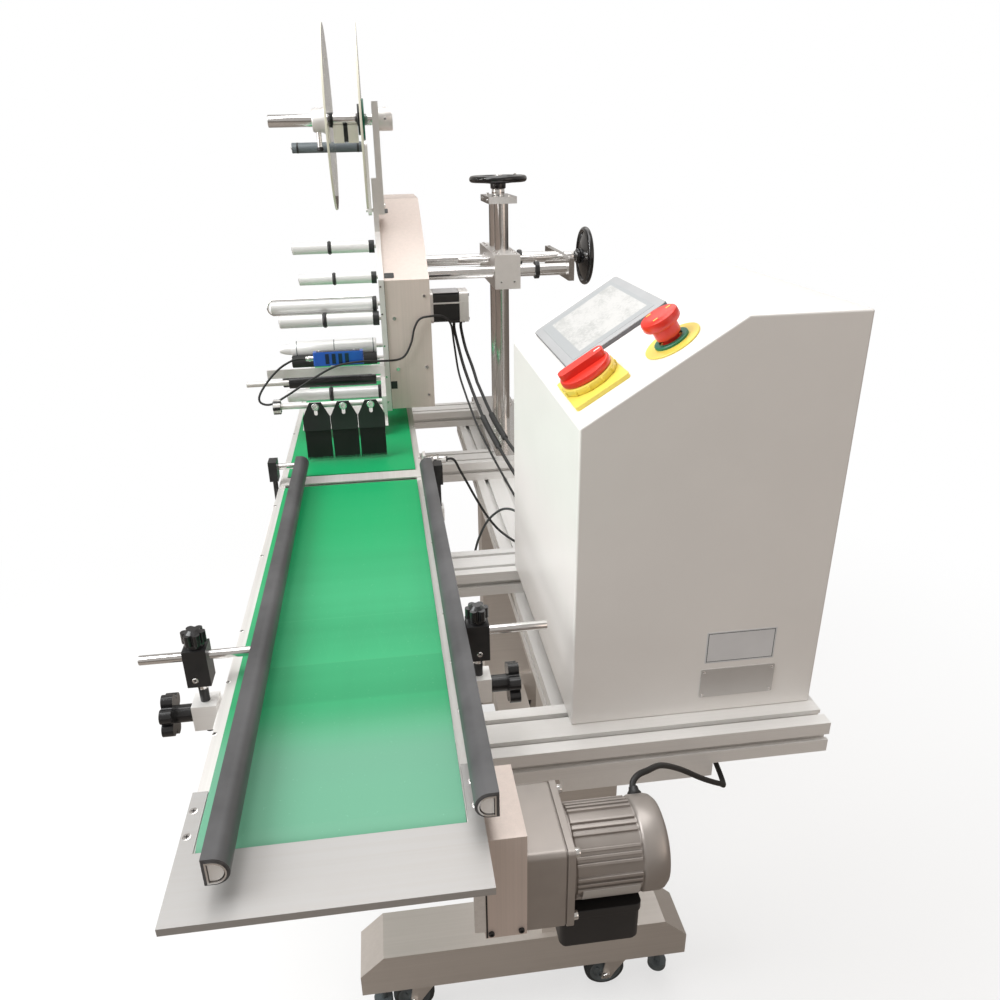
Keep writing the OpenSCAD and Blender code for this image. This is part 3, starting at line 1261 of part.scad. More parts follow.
// Leads: a tube swept along a route's points, each ring square to the mean of its two runs
function unit(v) = v / norm(v);
function run_at(p, i) = unit(p[min(i + 1, len(p) - 1)] - p[max(i - 1, 0)]);
function side_at(t) = unit(abs(t[2]) < 0.9 ? cross(t, [0, 0, 1]) : cross(t, [1, 0, 0]));
function frames(p, i = 0, s = undef) = i == len(p) ? [] : let (t = run_at(p, i),
    a = is_undef(s) ? side_at(t) : s,
    u = unit(a - (a * t) * t)) concat([[u, cross(t, u)]], frames(p, i + 1, u));
module lead(p, d) {
    f = frames(p);
    n = lead_sides;
    pts = [for (i = [0 : len(p) - 1]) for (k = [0 : n - 1])
        p[i] + d / 2 * (cos(k * 360 / n) * f[i][0] + sin(k * 360 / n) * f[i][1])];
    faces = concat([[for (k = [0 : n - 1]) k]], [[for (k = [n - 1 : -1 : 0]) (len(p) - 1) * n + k]],
        [for (i = [0 : len(p) - 2]) for (k = [0 : n - 1])
            [i * n + k, (i + 1) * n + k, (i + 1) * n + (k + 1) % n, i * n + (k + 1) % n]]);
    polyhedron(points = pts, faces = faces);
}
module head_leads() color([0.05, 0.05, 0.05]) {
    lead(motor_lead_a, lead_d);
    lead(motor_lead_b, lead_d);
    lead(label_lead, thin_lead_d);
}
module base_leads() color([0.05, 0.05, 0.05]) {
    lead(product_lead, thin_lead_d);
    lead(earth_lead, thin_lead_d);
    lead(drive_lead, lead_d);
}

translate(shift) {
    base_frame();
    levelling_feet();
    for (i = [0 : 3]) {
        caster_fork(i);
        caster_wheel(i);
        guide_roller(i);
    }
    cross_rails();
    long_rails();
    conveyor_side_left();
    conveyor_side_right();
    slider_bed();
    conveyor_belt();
    drive_roller();
    tail_roller();
    end_plate();
    chain_guard();
    gearmotor();
    motor_pulley();
    drive_belt();
    left_guide();
    right_guide();
    left_guide_blocks();
    right_guide_blocks();
    guide_clamps();
    left_top_knob();
    left_side_knob();
    right_top_knob();
    right_side_knob();
    posts();
    height_handwheel();
    cross_block();
    cross_arms();
    cross_handwheel();
    cabinet();
    touch_screen();
    estop_button();
    switch_handle();
    mounting_plate();
    head_cover();
    feed_motor();
    feed_roller();
    nip_roller();
    rewind_spool();
    label_reel();
    dancer_arm();
    peel_plate();
    brush_holder();
    brush_bristles();
    label_sensor();
    product_sensor();
    head_leads();
    base_leads();
}
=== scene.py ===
"""Looks of a flat surface labeling machine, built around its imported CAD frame.

Sizes in the classes are millimetres in the machine's own places: X across the belt from its centre
line, Y along the belt from its near end, Z up from the floor. place() moves them into the frame.
"""

import logging
import math
from dataclasses import dataclass
from enum import Enum
from typing import Optional, Sequence, Union

import bmesh
import bpy
import numpy as np
from mathutils import Matrix, Vector


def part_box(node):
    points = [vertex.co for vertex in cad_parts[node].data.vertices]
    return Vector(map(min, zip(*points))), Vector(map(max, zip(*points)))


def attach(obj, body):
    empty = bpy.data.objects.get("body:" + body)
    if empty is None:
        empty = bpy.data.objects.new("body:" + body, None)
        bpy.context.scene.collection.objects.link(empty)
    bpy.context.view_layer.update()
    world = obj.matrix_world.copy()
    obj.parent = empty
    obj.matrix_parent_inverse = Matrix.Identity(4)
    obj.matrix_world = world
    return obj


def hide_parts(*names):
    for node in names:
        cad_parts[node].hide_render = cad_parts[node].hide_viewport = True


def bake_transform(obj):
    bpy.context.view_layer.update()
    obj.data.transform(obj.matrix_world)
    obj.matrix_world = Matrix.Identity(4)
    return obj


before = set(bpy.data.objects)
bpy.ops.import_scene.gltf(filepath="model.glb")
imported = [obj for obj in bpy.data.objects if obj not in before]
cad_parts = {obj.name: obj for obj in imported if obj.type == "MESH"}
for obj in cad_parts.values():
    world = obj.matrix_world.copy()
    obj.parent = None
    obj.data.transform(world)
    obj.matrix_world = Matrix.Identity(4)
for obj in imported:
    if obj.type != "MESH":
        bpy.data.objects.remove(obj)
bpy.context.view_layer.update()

LOG = logging.getLogger("labeling_machine")
MM = 0.001
ORIGIN = np.array([-170.5, -776.0, 0.0])
Span = tuple[float, float]
Triple = tuple[float, float, float]
Colour = Triple
Place = Sequence[float]
Points = Sequence[Place]
Socket = bpy.types.NodeSocket
SEED_WAY = (1.0, 1.7, 0.6)


def place(points: np.ndarray) -> np.ndarray:
    """Moves points from the machine's millimetres into the frame's metres.

    Args:
        points: Array (..., 3) in millimetres.

    Returns:
        Array (..., 3) in metres.
    """
    return (np.asarray(points, float) + ORIGIN) * MM


# Shader maths


class Val:
    """A shader value whose Python operators add Math nodes."""

    def __init__(self, tree: "Tree", socket: Socket) -> None:
        """Wraps one output socket of a tree."""
        self.tree = tree
        self.socket = socket

    def math(self, operation: str, *others: Union["Val", float], first: bool = True) -> "Val":
        """Adds a Math node.

        Args:
            operation: The node's operation.
            others: The other operands.
            first: Whether this value is the first operand.

        Returns:
            The node's result.
        """
        operands = [self, *others] if first else [*others, self]
        node = self.tree.node("ShaderNodeMath", {"operation": operation}, dict(enumerate(operands)))
        return Val(self.tree, node.outputs[0])

    def __add__(self, other: Union["Val", float]) -> "Val":
        """Sum."""
        return self.math("ADD", other)

    __radd__ = __add__

    def __mul__(self, other: Union["Val", float]) -> "Val":
        """Product."""
        return self.math("MULTIPLY", other)

    __rmul__ = __mul__

    def __sub__(self, other: Union["Val", float]) -> "Val":
        """Difference."""
        return self.math("SUBTRACT", other)

    def __rsub__(self, other: float) -> "Val":
        """Reflected difference."""
        return self.math("SUBTRACT", other, first=False)

    def __truediv__(self, other: Union["Val", float]) -> "Val":
        """Quotient."""
        return self.math("DIVIDE", other)

    def __abs__(self) -> "Val":
        """Absolute value."""
        return self.math("ABSOLUTE")

    def window(self, low: float, high: float, edge: float) -> "Val":
        """One from low to high, falling to zero over edge on either side of both."""
        return self.step(low - edge, low + edge) * (1.0 - self.step(high - edge, high + edge))

    def step(self, low: float, high: float, to: Place = (0.0, 1.0)) -> "Val":
        """Smooth change of the value from low to high into the range to.

        Args:
            low: Input where the change begins.
            high: Input where it ends.
            to: The two output values.

        Returns:
            The mapped value.
        """
        values = {0: self, 1: low, 2: high, 3: to[0], 4: to[1]}
        node = self.tree.node("ShaderNodeMapRange", {"interpolation_type": "SMOOTHSTEP"}, values)
        return Val(self.tree, node.outputs[0])


class Tree:
    """The nodes of one material or world, added by one method."""

    def __init__(self, owner: Union[bpy.types.Material, bpy.types.World]) -> None:
        """Empties the owner's nodes.

        Args:
            owner: The material or world.
        """
        owner.use_nodes = True
        self.owner = owner
        self.nodes = owner.node_tree.nodes
        self.links = owner.node_tree.links
        self.nodes.clear()
        self.coordinates: Optional[Socket] = None

    def node(
        self, kind: str, settings: Optional[dict] = None, inputs: Optional[dict] = None
    ) -> bpy.types.Node:
        """Adds a node, its settings first and then its inputs.

        Args:
            kind: The node's type.
            settings: Attributes to set.
            inputs: Input name or number to a value, a Val, a socket or a node's output.

        Returns:
            The node.
        """
        node = self.nodes.new(kind)
        for key, value in (settings or {}).items():
            setattr(node, key, value)
        for key, value in (inputs or {}).items():
            if isinstance(value, Val):
                value = value.socket
            if isinstance(value, Socket):
                self.links.new(value, node.inputs[key])
            else:
                node.inputs[key].default_value = value
        return node

    def point(self) -> Socket:
        """Object coordinates, which are the frame's metres on every piece.

        Returns:
            The coordinates' output, made once in a tree.
        """
        if self.coordinates is None:
            self.coordinates = self.node("ShaderNodeTexCoord").outputs["Object"]
        return self.coordinates

    def axes(self) -> tuple[Val, Val, Val]:
        """The machine's own X, Y and Z in millimetres."""
        split = self.node("ShaderNodeSeparateXYZ", None, {0: self.point()})
        return tuple(Val(self, split.outputs[i]) * (1 / MM) - float(ORIGIN[i]) for i in range(3))

    def noise(self, scale: Place, detail: float = 3.0, rough: float = 0.5, seed: float = 0.0) -> Val:
        """Noise on object coordinates, stretched by a scale for each axis.

        Args:
            scale: Cells in a metre along X, Y and Z.
            detail: Octaves.
            rough: How strong the fine octaves are.
            seed: Offset that gives another pattern.

        Returns:
            Values about 0.5.
        """
        shift = tuple(seed * v for v in SEED_WAY)
        placed = {"Vector": self.point(), "Location": shift, "Scale": tuple(scale)}
        mapping = self.node("ShaderNodeMapping", None, placed)
        look = {"Vector": mapping.outputs[0], "Scale": 1.0, "Detail": detail, "Roughness": rough}
        node = self.node("ShaderNodeTexNoise", None, look)
        return Val(self, node.outputs["Fac"])

    def mix(self, factor: Union[Val, float], a: object, b: object) -> Socket:
        """Mixes two colours.

        Args:
            factor: Zero gives a, one gives b.
            a: Colour tuple or output.
            b: Colour tuple or output.

        Returns:
            The colour output.
        """
        sides = [(*c, 1.0) if isinstance(c, tuple) else c for c in (a, b)]
        inputs = {"Factor": factor, 6: sides[0], 7: sides[1]}
        return self.node("ShaderNodeMix", {"data_type": "RGBA"}, inputs).outputs[2]

    def bump(self, height: Val, strength: float, distance: float) -> Socket:
        """Bump from a height.

        Args:
            height: The height, about 0 to 1.
            strength: How much of it shows.
            distance: Real height of 1, in metres.

        Returns:
            The normal output.
        """
        inputs = {"Strength": strength, "Distance": distance, "Height": height}
        return self.node("ShaderNodeBump", None, inputs).outputs[0]

    def surface(self, **inputs: object) -> bpy.types.Material:
        """Ends the material in one Principled shader.

        Args:
            inputs: Socket names with underscores for blanks, to values or outputs.

        Returns:
            The material.
        """
        named = {key.replace("_", " "): value for key, value in inputs.items()}
        if isinstance(named.get("Base Color"), tuple):
            named["Base Color"] = (*named["Base Color"], 1.0)
        shader = self.node("ShaderNodeBsdfPrincipled", None, named)
        self.node("ShaderNodeOutputMaterial", None, {0: shader.outputs[0]})
        return self.owner


class Grain(Enum):
    """Which way a metal's fine lines run."""

    ALONG_X = (3.0, 700.0, 700.0)
    ALONG_Y = (700.0, 3.0, 700.0)
    ALONG_Z = (700.0, 700.0, 3.0)
    NONE = (260.0, 260.0, 260.0)


@dataclass(frozen=True)
class Finish:
    """A plain coloured finish with mottling, fine texture and a little dust."""

    name: str
    slot: str
    colour: Colour
    rough: float = 0.5
    metal: float = 0.0
    coat: float = 0.0
    mottle: float = 0.06
    grit: float = 900.0
    relief: float = 0.00004
    spread: float = 0.12

    def shade(self, tree: Tree) -> bpy.types.Material:
        """Builds the nodes.

        Args:
            tree: The empty material.

        Returns:
            The finished material.
        """
        cloud = tree.noise((9, 9, 9), 4.0, 0.6)
        grit = tree.noise((self.grit,) * 3, 2.0, 0.5, 3.0)
        dark = tuple(c * (1 - self.mottle) for c in self.colour)
        light = tuple(min(1.0, c * (1 + self.mottle) + self.mottle * 0.03) for c in self.colour)
        colour = tree.mix(cloud.step(0.3, 0.7), dark, light)
        rough = self.rough + (cloud - 0.5) * self.spread + (grit - 0.5) * (self.spread * 0.5)
        return tree.surface(
            Base_Color=colour,
            Roughness=rough,
            Metallic=self.metal,
            Coat_Weight=self.coat,
            Coat_Roughness=0.12,
            Normal=tree.bump(grit, 0.35, self.relief),
        )

    def material(self) -> bpy.types.Material:
        """The finish's material, built once."""
        name = f"look_{self.name}"
        return bpy.data.materials.get(name) or self.shade(Tree(bpy.data.materials.new(name)))


@dataclass(frozen=True)
class BrushedMetal(Finish):
    """Metal with fine lines along one axis, soft cloudy tone and a few handling marks."""

    grain: Grain = Grain.ALONG_X
    depth: float = 0.00002
    shadow: Colour = (0.42, 0.38, 0.35)

    def shade(self, tree: Tree) -> bpy.types.Material:
        """Fine lines are noise stretched along the grain; they change tone, roughness and relief.

        Args:
            tree: The empty material.

        Returns:
            The finished material.
        """
        lines = tree.noise(self.grain.value, 3.0, 0.65)
        coarse = tree.noise(tuple(v * 0.22 if v > 10 else v for v in self.grain.value), 2.0, 0.5, 5.0)
        cloud = tree.noise((6, 6, 6), 4.0, 0.6, 2.0)
        marks = tree.noise((45, 45, 45), 5.0, 0.7, 9.0).step(0.62, 0.74)
        tone = lines * 0.35 + coarse * 0.3 + cloud * 0.35
        deep = tuple(a * 0.55 + b * 0.45 for a, b in zip(self.colour, self.shadow))
        colour = tree.mix(tone.step(0.25, 0.75), deep, self.colour)
        rough = self.rough + (lines - 0.5) * 0.16 + (cloud - 0.5) * 0.1 + marks * 0.05
        return tree.surface(
            Base_Color=colour,
            Roughness=rough,
            Metallic=self.metal,
            Normal=tree.bump(lines * 0.7 + coarse * 0.3, 0.5, self.depth),
        )


@dataclass(frozen=True)
class BeltRubber(Finish):
    """Smooth green belt: faint cross bands, a toothed splice, scuffs along the run and fine grain.

    The places are millimetres along the machine. The shares say how strongly each tint shows. The near end's
    pale tint is a painted sheen, and the far run's deeper green is painted shade.
    """

    splice: Span = (245.0, 335.0)
    splice_margin: float = 8.0
    near_band: float = 178.0
    painted_sheen_run: float = 90.0
    far_shade_run: Span = (350.0, 620.0)
    tooth: float = 30.0
    # Painted sheen on the near end.
    painted_sheen_tint: Colour = (0.175, 0.40, 0.285)
    # Painted shade on the far run.
    far_shade_tint: Colour = (0.0, 0.355, 0.112)
    seam_tint: Colour = (0.14, 0.52, 0.26)
    speck_tint: Colour = (0.35, 0.72, 0.50)
    deep_share: float = 0.35
    painted_sheen_share: float = 0.80
    far_shade_share: float = 0.8
    seam_share: float = 0.16
    speck_share: float = 0.25

    def shade(self, tree: Tree) -> bpy.types.Material:
        """The splice is a sawtooth in Y whose phase follows X; bands are slow noise along Y. The painted
        sheen and the painted shade are ramps along Y.

        Args:
            tree: The empty material.

        Returns:
            The finished material.
        """
        x, y, _ = tree.axes()
        bands = tree.noise((0.6, 9.0, 1.0), 3.0, 0.55)
        edges = tree.noise((0.8, 34.0, 1.0), 2.0, 0.5, 4.0)
        scuff = tree.noise((60.0, 4.0, 8.0), 4.0, 0.65, 7.0)
        specks = tree.noise((420.0,) * 3, 2.0, 0.6, 1.0).step(0.70, 0.76)
        grain = tree.noise((1500.0,) * 3, 2.0, 0.5)
        low, high = self.splice
        saw = abs((x / self.tooth).math("FRACT") - 0.5) * 2.0
        front = y - (low + self.splice_margin) - saw * (high - low - 2 * self.splice_margin)
        line = 1.0 - abs(front).step(0.0, 1.3)
        ends = (1.0 - abs(y - low).step(0.0, 1.0)) + (1.0 - abs(y - high).step(0.0, 1.0))
        seam = (line + ends).math("MINIMUM", 1.0)
        tone = bands * 0.65 + edges * 0.2 + scuff * 0.15
        dark = tuple(c * 0.90 for c in self.colour)
        light = tuple(min(1.0, c * 1.06 + 0.008) for c in self.colour)
        colour = tree.mix(tone.step(0.35, 0.65), dark, light)
        deep = y.step(self.near_band - 3.0, self.near_band + 3.0) * (1.0 - y.step(low - 2.0, low + 2.0))
        colour = tree.mix(deep * self.deep_share, colour, tuple(c * 0.72 for c in self.colour))
        # Painted sheen: the near end turns pale, fading out towards near_band.
        pale = 1.0 - y.step(self.near_band - self.painted_sheen_run, self.near_band + 3.0)
        colour = tree.mix(pale * self.painted_sheen_share, colour, self.painted_sheen_tint)
        # Painted shade: the far run turns a deeper green.
        colour = tree.mix(y.step(*self.far_shade_run) * self.far_shade_share, colour, self.far_shade_tint)
        colour = tree.mix(seam * self.seam_share, colour, self.seam_tint)
        colour = tree.mix(specks * self.speck_share, colour, self.speck_tint)
        return tree.surface(
            Base_Color=colour,
            Roughness=self.rough + (bands - 0.5) * 0.22 + (scuff - 0.5) * 0.12,
            Specular_IOR_Level=0.30,
            Normal=tree.bump(grain * 0.5 + scuff * 0.3 + seam * 0.25, 0.3, 0.00012),
        )


@dataclass(frozen=True)
class ClearPlastic(Finish):
    """Clear acrylic: passes light, with a faint warm tint and fine rub marks."""

    def shade(self, tree: Tree) -> bpy.types.Material:
        """Rub marks are stretched noise that changes roughness alone.

        Args:
            tree: The empty material.

        Returns:
            The finished material.
        """
        rub = tree.noise((120, 20, 20), 4.0, 0.6)
        return tree.surface(
            Base_Color=tree.mix(rub, self.colour, tuple(c * 0.97 for c in self.colour)),
            Roughness=self.rough + (rub - 0.5) * 0.05,
            Transmission_Weight=0.96,
            IOR=1.49,
        )


@dataclass(frozen=True)
class ScreenGlass(Finish):
    """Powered-off display under glass whose pale, streaky tone is a painted reflection; its bezel printed
    grey, with soft smudges.
    """

    window_x: Span = (293.2, 370.8)
    window_y: Span = (415.0, 567.0)
    window_edge: float = 0.3
    painted_reflection_dark: Colour = (0.46, 0.47, 0.46)
    painted_reflection_pale: Colour = (0.64, 0.64, 0.63)

    def shade(self, tree: Tree) -> bpy.types.Material:
        """The window is a box in X and Y with soft edges; smudges are cloudy noise; the painted reflection
        mixes two greys by streaky noise.

        Args:
            tree: The empty material.

        Returns:
            The finished material.
        """
        x, y, _ = tree.axes()
        inside = x.window(*self.window_x, self.window_edge) * y.window(*self.window_y, self.window_edge)
        smudge = tree.noise((14, 22, 14), 4.0, 0.62, 3.0)
        reflection_streak = tree.noise((20, 9, 20), 3.0, 0.7, 8.0)
        weave = tree.noise((320, 320, 320), 2.0, 0.5, 5.0)
        # Painted reflection: pale and darker greys in streaks inside the window.
        panel = tree.mix((reflection_streak * 0.7 + weave * 0.3).step(0.40, 0.60), self.painted_reflection_dark, self.painted_reflection_pale)
        colour = tree.mix(inside, self.colour, panel)
        return tree.surface(
            Base_Color=colour,
            Roughness=self.rough + smudge * 0.12,
            Coat_Weight=inside * 0.35,
            Coat_Roughness=0.10,
        )


# Painted shade: a darker copy of the brushed stainless, which dims the lamp's reflection in the end plate.
DARKENED_STAINLESS = BrushedMetal("brushed_stainless", "stainless", (0.48, 0.478, 0.474), 0.48, 0.5)
# Painted shade: a warmer, darker copy of the brushed stainless for the upright chain guard and head cover.
STAINLESS_Z_SHADED = BrushedMetal(
    "brushed_stainless_upright", "stainless", (0.76, 0.655, 0.60), 0.48, 0.35,
    grain=Grain.ALONG_Z, shadow=(0.50, 0.45, 0.41))
STAINLESS_Y = BrushedMetal(
    "brushed_stainless_lengthwise", "stainless", (0.88, 0.86, 0.84), 0.40, 0.45,
    grain=Grain.ALONG_Y, shadow=(0.52, 0.49, 0.46))
STAND_STEEL = BrushedMetal(
    "satin_stand_steel", "grey_steel", (0.70, 0.66, 0.62), 0.44, 0.7, shadow=(0.52, 0.48, 0.45))
RAIL = BrushedMetal(
    "anodised_rail", "rail_aluminium", (0.93, 0.925, 0.91), 0.42, 0.25, shadow=(0.74, 0.72, 0.70))
RAIL_Y = BrushedMetal(
    "anodised_rail_lengthwise", "rail_aluminium", (0.93, 0.925, 0.91), 0.42, 0.25,
    grain=Grain.ALONG_Y, shadow=(0.80, 0.78, 0.76))
PLATE = BrushedMetal(
    "machined_aluminium", "plate_aluminium", (0.86, 0.84, 0.82), 0.40, 0.55,
    grain=Grain.NONE, shadow=(0.70, 0.68, 0.66))
ROLLER = BrushedMetal(
    "turned_aluminium", "plate_aluminium", (0.86, 0.86, 0.85), 0.36, 0.25, shadow=(0.72, 0.72, 0.71))
CHROME = BrushedMetal(
    "polished_steel", "bright_steel", (0.86, 0.85, 0.84), 0.14, 1.0,
    grain=Grain.NONE, depth=0.000004, shadow=(0.66, 0.65, 0.64))
POST = BrushedMetal(
    "ground_post", "rail_aluminium", (0.84, 0.83, 0.82), 0.18, 1.0,
    grain=Grain.ALONG_Z, depth=0.000006, shadow=(0.60, 0.59, 0.58))
ENAMEL = Finish(
    "white_enamel", "white_enamel", (0.88, 0.865, 0.845), 0.42, coat=0.15,
    mottle=0.012, grit=420.0, relief=0.00009)
BELT = BeltRubber("green_belt", "green_belt", (0.035, 0.37, 0.155), 0.46)
GUIDE_SKIN = Finish("black_guide_skin", "black_plastic", (0.070, 0.070, 0.073), 0.42, mottle=0.25, grit=600.0)
BLACK = Finish("black_plastic", "black_plastic", (0.016, 0.016, 0.017), 0.38, mottle=0.15)
KNOB = Finish("black_knob", "black_plastic", (0.012, 0.012, 0.013), 0.24, coat=0.3, mottle=0.12)
RUBBER = Finish("black_rubber", "black_rubber", (0.014, 0.014, 0.014), 0.55, mottle=0.2)
TYRE = Finish("dark_tyre", "tyre_rubber", (0.035, 0.042, 0.045), 0.40, mottle=0.2)
HUB = Finish("grey_hub", "tyre_rubber", (0.10, 0.12, 0.13), 0.42, mottle=0.15)
DARK = Finish("satin_black_paint", "dark_paint", (0.018, 0.018, 0.019), 0.30, mottle=0.15)
WHEEL_BLACK = Finish("glossy_wheel", "dark_paint", (0.008, 0.008, 0.009), 0.16, coat=0.5, mottle=0.1)
MOTOR = Finish("motor_paint", "motor_paint", (0.40, 0.365, 0.340), 0.38, metal=0.5, mottle=0.1, grit=1200.0)
SCREEN = ScreenGlass("display_glass", "screen_panel", (0.40, 0.42, 0.43), 0.30)
BEZEL = Finish("display_edge", "screen_panel", (0.13, 0.13, 0.14), 0.40)
RED = Finish("red_plastic", "red_plastic", (0.78, 0.035, 0.020), 0.32, coat=0.15, mottle=0.05)
YELLOW = Finish("yellow_plastic", "white_enamel", (0.84, 0.68, 0.12), 0.36, coat=0.1, mottle=0.04)
GREEN = Finish("green_collar", "green_belt", (0.01, 0.18, 0.10), 0.35)
WHITE = Finish("white_plastic", "white_plastic", (0.86, 0.86, 0.84), 0.36, mottle=0.03)
CLEAR = ClearPlastic("clear_disc", "clear_disc", (0.97, 0.97, 0.95), 0.06)
BLUE = Finish("blue_sensor", "sensor_blue", (0.015, 0.10, 0.46), 0.20, coat=0.4, mottle=0.2)
FILM = Finish("silver_film", "stainless", (0.62, 0.61, 0.60), 0.40, metal=0.5, mottle=0.04)
PAPER = Finish("pale_film", "white_plastic", (0.72, 0.73, 0.75), 0.45, mottle=0.05)
BRISTLE = Finish("black_bristle", "black_plastic", (0.006, 0.006, 0.006), 0.62, mottle=0.3)
# Cream of the reel's core blocks; on the reel's rims and hole rings the same cream is a painted edge glow.
CREAM_AND_EDGE_GLOW = Finish("cream_and_edge_glow", "clear_disc", (0.80, 0.78, 0.66), 0.35, mottle=0.03)
CLEAR_BLUE = Finish("dark_blue_window", "sensor_blue", (0.01, 0.02, 0.05), 0.12, coat=0.5, mottle=0.1)
BEZEL_SILVER = Finish("silver_bezel", "screen_panel", (0.46, 0.47, 0.48), 0.45, metal=0.2, mottle=0.04)
EARTH = Finish("grey_lead", "black_rubber", (0.06, 0.07, 0.07), 0.45, mottle=0.15)
SATIN = Finish("satin_grey", "plate_aluminium", (0.50, 0.50, 0.51), 0.40, metal=0.3, mottle=0.06)

# Mesh building

Z_TO_X = np.array([[0, 0, 1], [0, 1, 0], [-1, 0, 0]])
SMOOTH_BELOW = math.radians(35)
BEVEL_ABOVE = math.radians(40)
TUBE_START_WAY = (0.31, 0.2, 0.93)
SPLINE_STEPS = 24


def linked(name: str, data: bpy.types.ID) -> bpy.types.Object:
    """Links a new object to the scene.

    Args:
        name: The object's name.
        data: Its mesh, lamp or camera.

    Returns:
        The object.
    """
    thing = bpy.data.objects.new(name, data)
    bpy.context.scene.collection.objects.link(thing)
    return thing


def soften(thing: bpy.types.Object, bevel: float, segments: int) -> None:
    """Rounds a piece's edges with a Bevel modifier.

    Args:
        thing: The piece.
        bevel: Width of the softened edges in millimetres.
        segments: Steps across each of them.
    """
    modifier = thing.modifiers.new("soft_edges", "BEVEL")
    modifier.width = bevel * MM
    modifier.segments = segments
    modifier.limit_method = "ANGLE"
    modifier.angle_limit = BEVEL_ABOVE
    modifier.harden_normals = True


class Axis(Enum):
    """An axis, as the numbers of the two axes that follow it and its own."""

    X = (1, 2, 0)
    Y = (2, 0, 1)
    Z = (0, 1, 2)


class Solid:
    """Closed shapes gathered in the machine's millimetres, each with a material number."""

    def __init__(self) -> None:
        """Starts with nothing."""
        self.points: list[np.ndarray] = []
        self.faces: list[tuple[int, ...]] = []
        self.numbers: list[int] = []
        self.count = 0

    def add(self, points: np.ndarray, faces: Sequence[Sequence[int]], number: int = 0) -> "Solid":
        """Adds one shape.

        Args:
            points: Array (N, 3).
            faces: Corner numbers of each face.
            number: The material's number.

        Returns:
            Itself, so that calls chain.
        """
        points = np.asarray(points, float)
        self.points.append(points)
        self.faces.extend(tuple(int(i) + self.count for i in face) for face in faces)
        self.numbers.extend([number] * len(faces))
        self.count += len(points)
        return self

    def grid(self, points: np.ndarray, number: int = 0, caps: bool = True) -> "Solid":
        """Adds a tube of rings: quad (i, j) joins ring i and i + 1 at corners j and j + 1, wrapped in j.

        Args:
            points: Array (rings, corners, 3).
            number: The material's number.
            caps: Whether both ends are closed by one face; otherwise the last ring joins the first.

        Returns:
            Itself.
        """
        rings, corners = points.shape[:2]
        i, j = np.meshgrid(np.arange(rings - 1 if caps else rings), np.arange(corners), indexing="ij")
        nxt, wrap = (i + 1) % rings, (j + 1) % corners
        here, after = i * corners, nxt * corners
        quads = np.stack([here + j, here + wrap, after + wrap, after + j], -1)
        faces = quads.reshape(-1, 4).tolist()
        if caps:
            faces += [list(range(corners))[::-1], list(range((rings - 1) * corners, rings * corners))]
        return self.add(points.reshape(-1, 3), faces, number)

    def prism(self, outline: Points, axis: Axis, low: float, high: float, number: int = 0) -> "Solid":
        """Extrudes a 2-D outline along an axis.

        Args:
            outline: Corners in the two axes that follow the axis in the order x, y, z.
            axis: Its axis.
            low: Start along the axis.
            high: End along the axis.
            number: The material's number.

        Returns:
            Itself.
        """
        outline = np.asarray(outline, float)
        a, b, c = axis.value
        points = np.zeros((2, len(outline), 3))
        points[:, :, a], points[:, :, b] = outline[:, 0], outline[:, 1]
        points[0, :, c], points[1, :, c] = low, high
        return self.grid(points, number)

    def box(self, low: Place, high: Place, number: int = 0) -> "Solid":
        """Adds a box between two corners.

        Args:
            low: Its lower corner.
            high: Its upper corner.
            number: The material's number.

        Returns:
            Itself.
        """
        (x0, y0, z0), (x1, y1, z1) = low, high
        return self.prism([(x0, y0), (x1, y0), (x1, y1), (x0, y1)], Axis.Z, z0, z1, number)

    def lathe(
        self, profile: Points, centre: Place, axis: Axis, number: int = 0,
        turns: int = 48, closed: bool = False,
    ) -> "Solid":
        """Turns a profile of (radius, place along the axis) about an axis.

        Args:
            profile: The profile; a closed one is a ring's cross-section.
            centre: A point on the axis, whose own place along it is added.
            axis: Its axis.
            number: The material's number.
            turns: Corners in each ring.
            closed: Whether the last profile point joins the first.

        Returns:
            Itself.
        """
        profile = np.asarray(profile, float)
        a, b, c = axis.value
        angle = np.linspace(0, 2 * np.pi, turns, endpoint=False)
        points = np.zeros((len(profile), turns, 3))
        points[:, :, a] = profile[:, :1] * np.cos(angle)
        points[:, :, b] = profile[:, :1] * np.sin(angle)
        points[:, :, c] = profile[:, 1:2]
        return self.grid(points + np.asarray(centre, float), number, caps=not closed)

    def disc(
        self, centre: Place, radius: float, low: float, high: float, axis: Axis, number: int = 0,
        round_edge: float = 0.4, turns: int = 48,
    ) -> "Solid":
        """Adds a round bar with softened rims.

        Args:
            centre: A point on its axis.
            radius: Its radius.
            low: Start along the axis, from the centre.
            high: End along the axis, from the centre.
            axis: Its axis.
            number: The material's number.
            round_edge: Width of the softened rims.
            turns: Corners in each ring.

        Returns:
            Itself.
        """
        edge = min(round_edge, radius * 0.4, abs(high - low) * 0.45)
        profile = [(radius - edge, low), (radius - edge * 0.3, low + edge * 0.3), (radius, low + edge),
                   (radius, high - edge), (radius - edge * 0.3, high - edge * 0.3), (radius - edge, high)]
        return self.lathe(profile, centre, axis, number, turns)

    def ring(
        self, centre: Place, inner: float, outer: float, low: float, high: float, axis: Axis,
        number: int = 0, turns: int = 64,
    ) -> "Solid":
        """Adds a flat ring with softened rims.

        Args:
            centre: A point on its axis.
            inner: Radius of the bore.
            outer: Outer radius.
            low: Start along the axis, from the centre.
            high: End along the axis, from the centre.
            axis: Its axis.
            number: The material's number.
            turns: Corners in each ring.

        Returns:
            Itself.
        """
        e = min(0.5, (outer - inner) * 0.3, (high - low) * 0.3)
        profile = [(inner, low + e), (inner + e, low), (outer - e, low), (outer, low + e),
                   (outer, high - e), (outer - e, high), (inner + e, high), (inner, high - e)]
        return self.lathe(profile, centre, axis, number, turns, closed=True)

